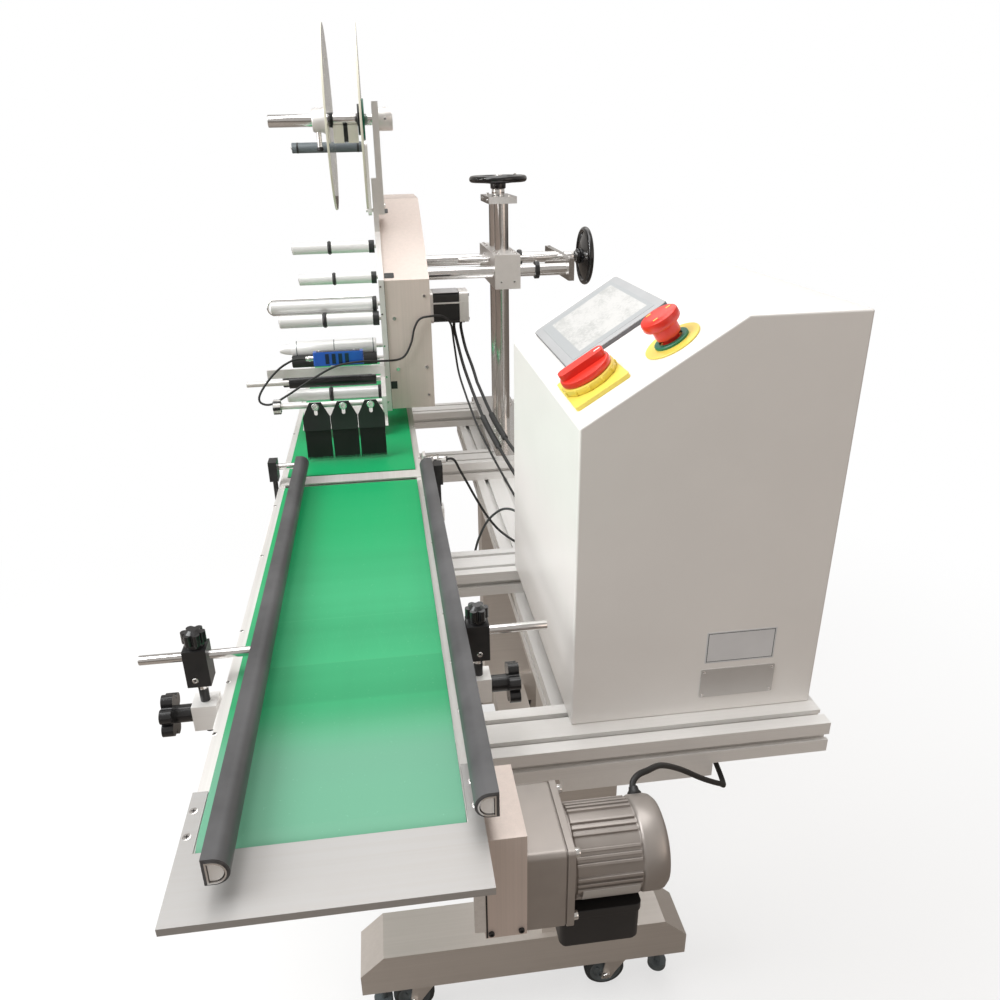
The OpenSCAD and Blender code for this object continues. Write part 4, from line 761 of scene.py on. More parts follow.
    def tube(self, path: np.ndarray, radius: Union[float, np.ndarray], number: int, turns: int) -> "Solid":
        """Sweeps a circle along a path, carrying its frame along so that it doesn't twist.

        Args:
            path: Array (N, 3).
            radius: One radius or one for each path point.
            number: The material's number.
            turns: Corners in each ring.

        Returns:
            Itself.
        """
        path = np.asarray(path, float)
        tangent = np.gradient(path, axis=0)
        tangent /= np.linalg.norm(tangent, axis=1)[:, None]
        start = np.cross(tangent[0], TUBE_START_WAY)
        sides = [start / np.linalg.norm(start)]
        for t in tangent[1:]:
            side = sides[-1] - t * np.dot(sides[-1], t)
            sides.append(side / np.linalg.norm(side))
        side = np.asarray(sides)
        up = np.cross(tangent, side)
        angle = np.linspace(0, 2 * np.pi, turns, endpoint=False)
        r = np.broadcast_to(np.asarray(radius, float), (len(path),))[:, None, None]
        points = path[:, None] + r * (
            side[:, None] * np.cos(angle)[None, :, None] + up[:, None] * np.sin(angle)[None, :, None]
        )
        return self.grid(points, number)

    def moved(self, first: int, matrix: np.ndarray, shift: Place) -> "Solid":
        """Turns and shifts the shapes added since shape number first.

        Args:
            first: How many shapes stay as they are.
            matrix: 3 by 3 rotation.
            shift: Added afterwards.

        Returns:
            Itself.
        """
        for k in range(first, len(self.points)):
            self.points[k] = self.points[k] @ np.asarray(matrix).T + np.asarray(shift, float)
        return self

    def piece(
        self, name: str, body: Optional[str], *finishes: Finish, bevel: float = 0.0,
        replaces: Sequence[str] = (), segments: int = 2,
    ) -> bpy.types.Object:
        """Makes the object, in the frame's metres.

        Args:
            name: The piece's name.
            body: The body it rides on, or None to leave it on no body.
            finishes: One finish for each material number.
            bevel: Width of the softened edges in millimetres.
            replaces: CAD nodes that it stands for.
            segments: Steps across a softened edge.

        Returns:
            The object.
        """
        mesh = bpy.data.meshes.new(name)
        mesh.from_pydata(place(np.concatenate(self.points)).tolist(), [], self.faces)
        mesh.polygons.foreach_set("material_index", self.numbers)
        work = bmesh.new()
        work.from_mesh(mesh)
        bmesh.ops.recalc_face_normals(work, faces=work.faces)
        work.to_mesh(mesh)
        work.free()
        mesh.shade_smooth()
        mesh.set_sharp_from_angle(angle=SMOOTH_BELOW)
        for finish in finishes:
            mesh.materials.append(finish.material())
        thing = linked(name, mesh)
        if bevel:
            soften(thing, bevel, segments)
        if body:
            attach(thing, body)
        if replaces:
            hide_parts(*replaces)
        LOG.info("piece %s on %s: %d faces", name, body, len(mesh.polygons))
        return thing


def circle(centre: Place, radius: float, turns: int, start: float, end: float) -> list:
    """Points of an arc in two axes.

    Args:
        centre: Its centre.
        radius: Its radius.
        turns: How many points.
        start: First angle in degrees.
        end: Last angle in degrees.

    Returns:
        A list of pairs.
    """
    angle = np.radians(np.linspace(start, end, turns))
    return np.stack([centre[0] + radius * np.cos(angle), centre[1] + radius * np.sin(angle)], 1).tolist()


def rounded(low: Place, high: Place, radius: float, turns: int = 6) -> list:
    """Corners of a rounded rectangle.

    Args:
        low: Lower corner.
        high: Upper corner.
        radius: Corner radius.
        turns: Points in each corner.

    Returns:
        A list of pairs.
    """
    (x0, y0), (x1, y1) = np.add(low, radius), np.subtract(high, radius)
    corners = (((x1, y1), 0), ((x0, y1), 90), ((x0, y0), 180), ((x1, y0), 270))
    return [p for centre, a in corners for p in circle(centre, radius, turns, a, a + 90)]


def mirrored(profile: Sequence[Span]) -> list:
    """A profile of (radius, place) followed by its mirror image at the opposite places."""
    return [*profile, *((radius, -at) for radius, at in reversed(profile))]


def curve(points: Points, count: int) -> np.ndarray:
    """Smooth path through points: a Catmull-Rom spline, resampled evenly by its length.

    Args:
        points: Places passed through.
        count: How many points come back.

    Returns:
        Array (count, 3).
    """
    p = np.asarray(points, float)
    ends = np.vstack([2 * p[0] - p[1], p, 2 * p[-1] - p[-2]])
    t = np.linspace(0, 1, SPLINE_STEPS, endpoint=False)[:, None]
    parts = []
    for a, b, c, d in zip(ends[:-3], ends[1:-2], ends[2:-1], ends[3:]):
        square, cube = 2 * a - 5 * b + 4 * c - d, 3 * b - a - 3 * c + d
        parts.append(0.5 * (2 * b + (c - a) * t + square * t**2 + cube * t**3))
    dense = np.vstack([*parts, p[-1:]])
    run = np.concatenate([[0], np.cumsum(np.linalg.norm(np.diff(dense, axis=0), axis=1))])
    even = np.linspace(0, run[-1], count)
    return np.stack([np.interp(even, run, dense[:, k]) for k in range(3)], 1)


def screws(
    solid: Solid, places: Points, axis: Axis, out: float, radius: float, height: float,
    number: int = 0, socket: int = 1,
) -> Solid:
    """Adds socket screws whose heads stand on a face.

    Args:
        solid: Where they go.
        places: Centres on the face.
        axis: The face's axis.
        out: 1 or -1, the way the heads point.
        radius: Head radius.
        height: Head height.
        number: The heads' material number.
        socket: The sockets' material number.

    Returns:
        The solid.
    """
    r, h = radius, height
    head = [(r, 0), (r, h * 0.75), (r * 0.92, h), (r * 0.52, h), (r * 0.5, h * 0.5)]
    for centre in places:
        solid.lathe([(a, b * out) for a, b in head], centre, axis, number, 24)
        solid.lathe([(r * 0.5, h * 0.52 * out), (r * 0.5, h * 0.35 * out)], centre, axis, socket, 6)
    return solid


class Assembly:
    """A group of pieces that belong together."""

    def build(self) -> None:
        """Makes the pieces."""
        raise NotImplementedError


def assign(names: Sequence[str], finish: Finish) -> None:
    """Gives CAD nodes one finish.

    Args:
        names: The nodes.
        finish: Their finish.
    """
    for name in names:
        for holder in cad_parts[name].material_slots:
            holder.material = finish.material()


# The room


@dataclass(frozen=True)
class Lamp:
    """A square area lamp, its places in the frame's metres."""

    name: str
    place: Triple
    aim: Triple
    size: float
    power: float
    tint: Colour = (1.0, 1.0, 1.0)

    def build(self) -> None:
        """Makes the lamp and points it at its aim."""
        lamp = bpy.data.lights.new(self.name, "AREA")
        lamp.size = self.size
        lamp.energy = self.power
        lamp.color = self.tint
        thing = linked(self.name, lamp)
        thing.location = self.place
        way = Vector(self.aim) - Vector(self.place)
        thing.rotation_euler = way.to_track_quat("-Z", "Y").to_euler()


LAMPS = (
    Lamp("key", (-2.2, -0.7, 3.2), (0.0, 0.0, 0.9), 1.8, 66.0, (0.97, 0.99, 1.0)),
    Lamp("fill", (2.6, -3.0, 1.9), (0.0, 0.0, 0.9), 2.2, 13.0, (1.0, 0.82, 0.70)),
    Lamp("top", (-0.2, 0.1, 4.2), (-0.1, 0.0, 0.9), 2.4, 52.0),
    Lamp("back", (0.5, 2.3, 3.5), (0.0, -0.2, 0.9), 2.2, 16.0),
    Lamp("side", (-3.4, -0.6, 1.6), (0.0, 0.2, 1.0), 2.0, 48.0, (1.0, 0.98, 0.96)),
)


@dataclass
class Room(Assembly):
    """Pale floor, soft lamps, a plain world and the camera.

    The far point is the picture's pixel where lines along the belt meet. With the picture's middle and
    the focal length in pixels it gives the camera's turn, its lens and its shift.
    """

    floor_size: float = 60.0
    floor_tint: Colour = (0.9, 0.9, 0.9)
    bounce_tint: Colour = (0.27, 0.24, 0.215)
    floor_glow: float = 0.62
    shadow_reach: Span = (0.55, 2.4)
    world_tint: Colour = (1.0, 0.95, 0.90)
    world_light: float = 0.46
    eye: Triple = (-0.1035, -1.266, 1.450)
    cross: Triple = (1.0, -0.023, 0.0)
    far_point: Span = (369.0, 151.0)
    picture_middle: Span = (482.0, 500.0)
    picture_width: float = 1000.0
    focal_pixels: float = 805.0
    sensor: float = 36.0
    clip_start: float = 0.01

    def white(self, name: str) -> bpy.types.Material:
        """White to the camera: near the machine part of it is lit floor, which keeps the shadow.

        Args:
            name: The material's name.

        Returns:
            The material.
        """
        tree = Tree(bpy.data.materials.new(name))
        path = tree.node("ShaderNodeLightPath")
        seen = Val(tree, path.outputs["Is Camera Ray"])
        glow = tree.node("ShaderNodeEmission", None, {"Color": (1, 1, 1, 1), "Strength": 1.0})
        tint = tree.mix(seen, self.bounce_tint, self.floor_tint)
        grey = tree.node("ShaderNodeBsdfDiffuse", None, {"Color": tint})
        split = tree.node("ShaderNodeSeparateXYZ", None, {0: tree.point()})
        x, y = Val(tree, split.outputs[0]), Val(tree, split.outputs[1])
        away = (x * x + y * y).math("SQRT").step(*self.shadow_reach, (self.floor_glow, 1.0))
        sides = {0: seen * away, 1: grey.outputs[0], 2: glow.outputs[0]}
        shade = tree.node("ShaderNodeMixShader", None, sides)
        tree.node("ShaderNodeOutputMaterial", None, {0: shade.outputs[0]})
        return tree.owner

    def build(self) -> None:
        """Makes the floor, lamps, world and camera."""
        half = self.floor_size / 2
        corners = [(-half, -half, 0), (half, -half, 0), (half, half, 0), (-half, half, 0)]
        mesh = bpy.data.meshes.new("floor")
        mesh.from_pydata(corners, [], [(0, 1, 2, 3)])
        mesh.materials.append(self.white("floor_white"))
        linked("floor", mesh)
        for lamp in LAMPS:
            lamp.build()
        self.sky()
        self.camera()

    def sky(self) -> None:
        """White world for the camera, and plain warm light for every other ray."""
        tree = Tree(bpy.data.worlds.new("studio"))
        bpy.context.scene.world = tree.owner
        path = tree.node("ShaderNodeLightPath")
        plain = tree.node("ShaderNodeBackground", None, {0: (*self.world_tint, 1.0), 1: self.world_light})
        white = tree.node("ShaderNodeBackground", None, {0: (1.0, 1.0, 1.0, 1.0)})
        sides = {0: path.outputs["Is Camera Ray"], 1: plain.outputs[0], 2: white.outputs[0]}
        mix = tree.node("ShaderNodeMixShader", None, sides)
        tree.node("ShaderNodeOutputWorld", None, {0: mix.outputs[0]})

    def camera(self) -> None:
        """Sets the camera: its axes are the belt's line, the line across it and their cross product."""
        across, down = np.subtract(self.far_point, self.picture_middle)
        view = np.array([across, down, self.focal_pixels])
        y = view / np.linalg.norm(view)
        z = np.cross(view, self.cross)
        z /= np.linalg.norm(z)
        if z[1] > 0:
            z = -z
        turn = np.stack([np.cross(y, z), y, z], axis=1).T @ np.diag([1.0, -1.0, -1.0])
        lens = bpy.data.cameras.new("camera")
        lens.lens = self.focal_pixels * self.sensor / self.picture_width
        lens.shift_x = (self.picture_width / 2 - self.picture_middle[0]) / self.picture_width
        lens.clip_start = self.clip_start
        thing = linked("camera", lens)
        matrix = Matrix(turn.tolist()).to_4x4()
        matrix.translation = Vector(self.eye)
        thing.matrix_world = matrix
        bpy.context.scene.camera = thing
        bpy.context.scene.view_settings.view_transform = "Standard"


# Conveyor and side guides


@dataclass(frozen=True)
class SideGuide:
    """One side guide's places: X of its flat back and round crown, Y of its ends, and its cross rods.

    A rod is its Y and the X of its outer end.
    """

    side: str
    flat: float
    crown: float
    near: float
    far: float
    rods: tuple[Span, ...]


@dataclass
class Conveyor(Assembly):
    """Screws of the end plate, guard and sides, and the two side guides with their steel cores."""

    guides: tuple[SideGuide, ...] = (
        SideGuide("left", -89.0, -69.0, -44.0, 796.0, ((242.0, -204.0), (784.0, -134.0))),
        SideGuide("right", 133.0, 113.0, -10.0, 750.0, ((242.0, 222.0), (722.0, 149.0))),
    )
    guide_z: Span = (963.0, 988.0)
    skin: float = 2.2
    skin_shorter: float = 1.5
    core: float = 1.4
    core_back: float = 0.3
    plug_clear: float = 0.9
    plug_run: Span = (1.2, 14.0)
    rod_radius: float = 5.0
    rod_nut: Span = (4.5, 14.0)
    rod_nut_half: float = 9.0
    rod_nut_z: Span = (969.0, 982.0)
    screw_x: float = 117.0
    tab_screws: tuple[float, ...] = (22.0, 50.0)
    tab_top: float = 948.05
    side_screws: tuple[float, ...] = (150.0, 232.0, 330.0, 520.0, 690.0, 860.0, 1040.0, 1260.0, 1500.0)
    side_top: float = 946.05
    guard_screws: tuple[float, ...] = (124.0, 150.0)
    guard_screw_z: float = 834.0
    guard_face: float = -10.2
    guard_edge_x: Span = (119.6, 121.0)
    guard_edge_z: Span = (829.0, 939.0)
    block_x: float = 146.0
    block_y: float = 242.0
    block_top: float = 987.5
    block_screw_z: float = 960.0
    sleeve_z: Span = (936.0, 945.0)

    def outline(self, guide: SideGuide, inset: float, shift: float = 0.0) -> list:
        """The guide's D: flat at one X, half-round towards the belt.

        Args:
            guide: Which guide.
            inset: How far inside the outer skin.
            shift: How far the flat side is moved towards the crown.

        Returns:
            Points in X and Z.
        """
        way = math.copysign(1.0, guide.crown - guide.flat)
        flat = guide.flat + way * shift
        z0, z1 = self.guide_z
        radius = (z1 - z0) / 2
        centre = guide.crown - way * radius
        arc = circle((0, (z0 + z1) / 2), radius - inset, 25, -90, 90)
        round_side = [(centre + way * x, z) for x, z in arc]
        return [(flat + way * inset, z0 + inset), *round_side, (flat + way * inset, z1 - inset)]

    def shell(self, outer: list, inner: list, ends: Span, number: int, solid: Solid) -> None:
        """Adds a D-shaped tube, open at both ends, as rings of a closed wall.

        Args:
            outer: The wall's outer outline in X and Z.
            inner: Its inner outline.
            ends: Y of both ends.
            number: Material number.
            solid: Where it goes.
        """
        y0, y1 = ends
        rings = []
        for loop, y in ((outer, y0), (outer, y1), (inner, y1), (inner, y0)):
            points = np.asarray(loop)
            rings.append(np.column_stack([points[:, 0], np.full(len(points), y), points[:, 1]]))
        solid.grid(np.asarray(rings), number, caps=False)

    def guide(self, guide: SideGuide) -> None:
        """Makes one guide: dark skin, bright core, pale plug and its two cross rods.

        Args:
            guide: Which guide.
        """
        flat, near, far, side = guide.flat, guide.near, guide.far, guide.side
        way = math.copysign(1.0, guide.crown - flat)
        solid = Solid()
        skin_ends = (near + self.skin_shorter, far - self.skin_shorter)
        self.shell(self.outline(guide, 0.0), self.outline(guide, self.skin), skin_ends, 0, solid)
        lining = self.skin + 0.1
        core = [self.outline(guide, lining + wall, self.core_back) for wall in (0.0, self.core)]
        self.shell(*core, (near, far), 1, solid)
        plug = self.outline(guide, self.skin + self.core + self.plug_clear)
        solid.prism([(z, x) for x, z in plug], Axis.Y, *(near + run for run in self.plug_run), 2)
        for y, end in guide.rods:
            low, high = sorted((flat + way * (self.skin + 1), end))
            solid.disc((0, y, sum(self.guide_z) / 2), self.rod_radius, low, high, Axis.X, 1, 0.8)
            low, high = sorted(flat + way * reach for reach in self.rod_nut)
            z0, z1 = self.rod_nut_z
            solid.box((low, y - self.rod_nut_half, z0), (high, y + self.rod_nut_half, z1), 1)
        solid.piece(
            f"{side}_guide_skin_and_core", f"{side}_rail", GUIDE_SKIN, CHROME, RAIL_Y,
            replaces=[f"{side}_guide"])

    def build(self) -> None:
        """Makes guides and screws."""
        for guide in self.guides:
            self.guide(guide)
        self.plates()
        self.clamps()

    def plates(self) -> None:
        """Flat screws of the end plate's tabs and the sides, and the guard's dark edge and screws."""
        flat = Solid()
        for x in (-self.screw_x, self.screw_x):
            for y in self.tab_screws:
                self.flat_screw(flat, (x, y, self.tab_top), 3.6)
            for y in self.side_screws:
                self.flat_screw(flat, (x, y, self.side_top), 2.4)
        flat.piece("plate_screws", "frame", CHROME, BLACK)
        guard = Solid()
        for x in self.guard_screws:
            screws(guard, [(x, self.guard_face, self.guard_screw_z)], Axis.Y, -1, 2.6, 2.0, 0, 0)
        (x0, x1), (z0, z1) = self.guard_edge_x, self.guard_edge_z
        guard.box((x0, self.guard_face - 0.25, z0), (x1, self.guard_face + 0.1, z1), 1)
        guard.piece("guard_screws", "frame", BLACK, DARK)

    def flat_screw(self, solid: Solid, centre: Place, radius: float) -> None:
        """Adds a countersunk screw with a crossed recess.

        Args:
            solid: Where it goes.
            centre: Its middle on the face.
            radius: Its head's radius.
        """
        solid.lathe([(radius, -0.3), (radius, 0.25), (radius * 0.8, 0.45)], centre, Axis.Z, 0, 24)
        x, y, z = centre
        arm, half = radius * 0.55, radius * 0.12
        for dx, dy in ((arm, half), (half, arm)):
            solid.box((x - dx, y - dy, z + 0.3), (x + dx, y + dy, z + 0.52), 1)

    def clamps(self) -> None:
        """Nut, side screw and bright sleeve on each guide block."""
        for side, x in (("left", -self.block_x), ("right", self.block_x)):
            solid = Solid()
            solid.lathe([(7.2, 0), (7.2, 3.0), (6.2, 4.0)], (x, self.block_y, self.block_top), Axis.Z, 0, 6)
            screws(solid, [(x, self.block_y - 21.6, self.block_screw_z)], Axis.Y, -1, 3.0, 1.6, 0, 1)
            solid.disc((x, self.block_y, 0), 5.3, *self.sleeve_z, Axis.Z, 0, 0.3, 32)
            solid.piece(f"{side}_block_nut", f"{side}_carrier", CHROME, BLACK, bevel=0.4)


# Drive unit


@dataclass
class DriveUnit(Assembly):
    """Gear head, flange, ribbed motor, end bell, bright strip and terminal box."""

    axis_y: float = 36.0
    axis_z: float = 869.0
    gear: Span = (155.0, 189.0)
    flange: Span = (189.0, 197.0)
    motor: Span = (197.0, 285.0)
    half: float = 44.0
    radius: float = 41.0
    rib_groups: int = 10
    rib_pitch: float = 8.5
    rib_half: float = 1.5
    strip_arc: Span = (188.0, 214.0)
    strip_run: Span = (205.0, 256.0)
    bell_screw_ring: float = 33.0
    bell_screw_angles: tuple[float, ...] = (0.8, 2.4, 3.9, 5.5)
    box_x: Span = (188.5, 262.0)
    box_z: Span = (783.0, 822.0)
    box_half: float = 29.0
    gland_x: float = 270.0
    gland_way: Span = (30.8, 27.7)

    def square(self, inset: float, round_corner: float) -> list:
        """Rounded square about the motor's axis, in Y and Z.

        Args:
            inset: How much smaller than the gear head on each side.
            round_corner: Its corner radius.

        Returns:
            A list of pairs.
        """
        y, z, h = self.axis_y, self.axis_z, self.half
        return rounded((y - h + inset, z - h + inset), (y + h - inset, z + h - inset), round_corner)

    def build(self) -> None:
        """Makes the motor."""
        body = Solid()
        f0, f1 = self.flange
        body.prism(self.square(0.0, 6), Axis.X, *self.gear, 0)
        body.prism(self.square(0.0, 4), Axis.X, f0 + 1.2, f1, 0)
        body.prism(self.square(1.5, 4), Axis.X, f0 - 0.2, f0 + 1.4, 0)
        x0, x1 = self.motor
        r = self.radius
        neck = [(r - 4, x0 - 0.5), (r - 4, x0 + 3), (r - 2.6, x0 + 4)]
        bell = [(r - 2.6, x1 - 26), (r - 1.0, x1 - 25), (r, x1 - 23), (r, x1 - 9), (r - 1.2, x1 - 5)]
        end = [(r - 4.5, x1 - 1.5), (r - 9, x1), (r - 24, x1), (r - 25, x1 - 1)]
        body.lathe([*neck, *bell, *end], (0, self.axis_y, self.axis_z), Axis.X, 0, 96)
        self.ribs(body, x0 + 3.0, x1 - 27.0)
        self.box_below(body)
        body.piece("gearmotor_housing", "frame", MOTOR, BLACK, bevel=0.8, replaces=["gearmotor"])
        self.trim()

    def ribs(self, body: Solid, x0: float, x1: float) -> None:
        """Adds long ribs in groups of three round the motor.

        Args:
            body: Where they go.
            x0: Their start along the motor.
            x1: Their end.
        """
        step = 360 / self.rib_groups
        for group in range(self.rib_groups):
            for k in (-1, 0, 1):
                a = math.radians((group + 0.5) * step + k * self.rib_pitch)
                first = len(body.points)
                low, high = self.radius - 5, self.radius - 0.2
                body.box((x0, -self.rib_half, low), (x1, self.rib_half, high), 0)
                turn = [[1, 0, 0], [0, math.cos(a), -math.sin(a)], [0, math.sin(a), math.cos(a)]]
                body.moved(first, np.array(turn), (0, self.axis_y, self.axis_z))

    def box_below(self, body: Solid) -> None:
        """Adds the terminal box in black plastic with a lid line, on a short neck.

        Args:
            body: Where it goes.
        """
        y, half = self.axis_y, self.box_half
        (x0, x1), (z0, z1) = self.box_x, self.box_z
        body.prism(rounded((x0, y - half), (x1, y + half), 6), Axis.Z, z0, z1, 1)
        foot = rounded((x0 + 1.5, y - half + 1.5), (x1 - 1.5, y + half - 1.5), 5)
        body.prism(foot, Axis.Z, z0 - 3, z0 + 0.5, 1)
        lid = rounded((x0 - 0.9, y - half - 1), (x1 + 1, y + half + 1), 6)
        body.prism(lid, Axis.Z, z1 - 5, z1 + 4, 1)
        body.box((x0 + 11.5, y - 14, z1 + 2), (x1 - 4, y + 14, z1 + 20), 1)

    def on_ring(self, radius: float, angle: float) -> Span:
        """Y and Z at a radius and an angle about the motor's axis."""
        return self.axis_y + radius * math.cos(angle), self.axis_z + radius * math.sin(angle)

    def trim(self) -> None:
        """Bright corner screws, bright strip, end-bell screws and the lead's gland."""
        y, z, r = self.axis_y, self.axis_z, self.radius
        out = self.half - 7
        corners = [(self.flange[1], y + sy * out, z + sz * out) for sy in (-1, 1) for sz in (-1, 1)]
        solid = screws(Solid(), corners, Axis.X, 1, 4.2, 4.5, 0, 1)
        bell_face = self.motor[1] - 2.4
        places = [(bell_face, *self.on_ring(self.bell_screw_ring, a)) for a in self.bell_screw_angles]
        screws(solid, places, Axis.X, 1, 2.6, 1.6, 0, 1)
        angles = np.radians(np.linspace(*self.strip_arc, 12))
        outer = [self.on_ring(r + 0.25, a) for a in angles]
        inner = [self.on_ring(r - 2.8, a) for a in angles[::-1]]
        solid.prism(outer + inner, Axis.X, *self.strip_run, 2)
        solid.piece("gearmotor_screws_and_strip", "frame", CHROME, BLACK, FILM, bevel=0.15)
        gland = Solid()
        gland.lathe([(6.5, 0), (6.5, 4), (4.8, 6), (4.2, 9), (3.2, 10)], (0, 0, 0), Axis.Z, 0, 24)
        across, up = self.gland_way
        a = math.atan2(up, across)
        turn = [[1, 0, 0], [0, math.sin(a), math.cos(a)], [0, -math.cos(a), math.sin(a)]]
        gland.moved(0, np.array(turn), (self.gland_x, *self.on_ring(r - 3, a)))
        gland.piece("gearmotor_gland", "frame", BLACK)


# Cabinet and controls


@dataclass
class Panel(Assembly):
    """Cabinet shell with its plates, the screen, the emergency stop and the main switch.

    Outlines on the sloped panel are its own u, up the slope, and Y, along the machine.
    """

    x: Span = (251.0, 539.0)
    y: Span = (237.0, 631.0)
    z: Span = (840.0, 1301.0)
    front: float = 1198.0
    slope_x: float = 413.0
    lead_glands: tuple[Span, ...] = ((305, 900), (342, 906), (288, 878), (290, 850), (270, 902))
    hex_glands: tuple[float, ...] = (305, 342)
    floor_gland: Span = (432.0, 420.0)
    door_margin: float = 14.0
    door_seam: float = 1.2
    door_locks: tuple[float, ...] = (960.0, 1180.0)
    plate_x: Span = (401.0, 489.0)
    plate_z: Span = (862.0, 900.0)
    rivet_inset: float = 3.5
    film_x: Span = (404.0, 486.0)
    film_z: Span = (908.0, 949.0)
    film_margin: float = 1.6
    film_border: float = 0.8
    screen_u: Span = (30.0, 162.0)
    screen_y: Span = (389.0, 593.0)
    bezel_inset: float = 0.6
    glass_u: Span = (41.0, 151.0)
    glass_y: Span = (401.0, 581.0)
    stop_place: Triple = (358.7, 291.0, 1266.5)
    switch_place: Triple = (285.5, 321.0, 1219.9)
    switch_half: Span = (32.0, 46.0)
    switch_notches: int = 12

    def slope(self) -> tuple[np.ndarray, np.ndarray]:
        """The sloped panel's frame.

        Returns:
            Its rotation (u up the slope, y along the machine, w outwards) and its origin.
        """
        u = np.array([self.slope_x - self.x[0], 0, self.z[1] - self.front])
        u /= np.linalg.norm(u)
        w = np.array([-u[2], 0, u[0]])
        return np.stack([u, [0, 1, 0], w], 1), np.array([self.x[0], 0, self.front])

    def on_slope(self, solid: Solid) -> Solid:
        """Moves shapes given as (u, y, w) onto the sloped panel."""
        turn, origin = self.slope()
        return solid.moved(0, turn, origin)

    def up_slope(self, place_at: Triple) -> float:
        """A place's distance u up the sloped panel."""
        turn, origin = self.slope()
        return float((np.array([place_at[0], 0, place_at[2]]) - origin) @ turn[:, 0])

    def build(self) -> None:
        """Makes all the pieces."""
        self.shell()
        self.plates()
        self.screen()
        self.estop()
        self.switch()

    def shell(self) -> None:
        """White enamel body with softened folds, black glands, and the door's seam and locks."""
        (x0, x1), (y0, y1), (z0, z1) = self.x, self.y, self.z
        outline = [(x0, z0), (x1, z0), (x1, z1), (self.slope_x, z1), (x0, self.front)]
        body = Solid().prism([(z, x) for x, z in outline], Axis.Y, y0, y1, 0)
        body.piece("cabinet_shell", "frame", ENAMEL, bevel=2.5, replaces=["cabinet"], segments=3)
        extra = Solid()
        gland = [(7, 0), (7, 4.5), (6.2, 5), (6.2, 7), (7, 7.5), (6.6, 10), (4.6, 12)]
        for x, z in self.lead_glands:
            extra.lathe(gland, (x, y1, z), Axis.Y, 0, 6 if x in self.hex_glands else 24)
        extra.lathe([(r, -out) for r, out in gland], (*self.floor_gland, z0), Axis.Z, 0, 24)
        edge, seam = self.door_margin, self.door_seam
        under, over = x1 - 0.4, x1 + 0.25
        extra.box((under, y0 + edge, z0 + edge), (over, y0 + edge + seam, z1 - edge), 1)
        extra.box((under, y1 - edge - seam, z0 + edge), (over, y1 - edge, z1 - edge), 1)
        extra.box((under, y0 + edge, z0 + edge - seam), (over, y1 - edge, z0 + edge), 1)
        extra.box((under, y0 + edge, z1 - edge), (over, y1 - edge, z1 - edge + seam), 1)
        for z in self.door_locks:
            extra.disc((0, y0 + 30, z), 9.0, x1 - 1, x1 + 1.6, Axis.X, 0)
        extra.piece("cabinet_glands_and_seams", "frame", BLACK, HUB)

    def plates(self) -> None:
        """Riveted metal plate, and above it a bordered film, on the near face."""
        near = self.y[0]
        (x0, x1), (z0, z1) = self.plate_x, self.plate_z
        plate = Solid()
        plate.prism([(z, x) for x, z in rounded((x0, z0), (x1, z1), 2)], Axis.Y, near - 1.2, near + 0.2, 0)
        inset = self.rivet_inset
        for x in (x0 + inset, x1 - inset):
            for z in (z0 + inset, z1 - inset):
                plate.lathe([(1.7, -1.2), (1.5, -1.8), (0.8, -2.2)], (x, near, z), Axis.Y, 1, 20)
        plate.piece("cabinet_plate", "frame", FILM, CHROME)
        (x0, x1), (z0, z1) = self.film_x, self.film_z
        film = Solid()
        film.prism([(z, x) for x, z in rounded((x0, z0), (x1, z1), 1)], Axis.Y, near - 0.25, near + 0.2, 0)
        edge, margin = self.film_border, self.film_margin
        x0, x1, z0, z1 = x0 + margin, x1 - margin, z0 + margin, z1 - margin
        lines = (
            ((x0, z0), (x1, z0 + edge)),
            ((x0, z1 - edge), (x1, z1)),
            ((x0, z0), (x0 + edge, z1)),
            ((x1 - edge, z0), (x1, z1)),
        )
        for low, high in lines:
            film.box((low[0], near - 0.32, low[1]), (high[0], near - 0.1, high[1]), 1)
        film.piece("cabinet_film", "frame", PAPER, HUB)

    def screen(self) -> None:
        """Bezel with a soft rim, dark edge band and the glass."""
        (u0, u1), (y0, y1) = self.screen_u, self.screen_y
        edge = self.on_slope(Solid().prism(rounded((u0, y0), (u1, y1), 5), Axis.Z, 0, 4.2, 0))
        edge.piece("screen_edge", "frame", BEZEL, bevel=0.3, replaces=["touch_screen"])
        inset = self.bezel_inset
        face = rounded((u0 + inset, y0 + inset), (u1 - inset, y1 - inset), 5)
        rim = self.on_slope(Solid().prism(face, Axis.Z, 4.2, 5.5, 0))
        rim.piece("screen_bezel", "frame", BEZEL_SILVER, bevel=0.5, segments=3)
        (u0, u1), (y0, y1) = self.glass_u, self.glass_y
        glass = self.on_slope(Solid().prism(rounded((u0, y0), (u1, y1), 2), Axis.Z, 5.2, 5.9, 0))
        glass.piece("screen_glass", "frame", SCREEN, bevel=0.3)

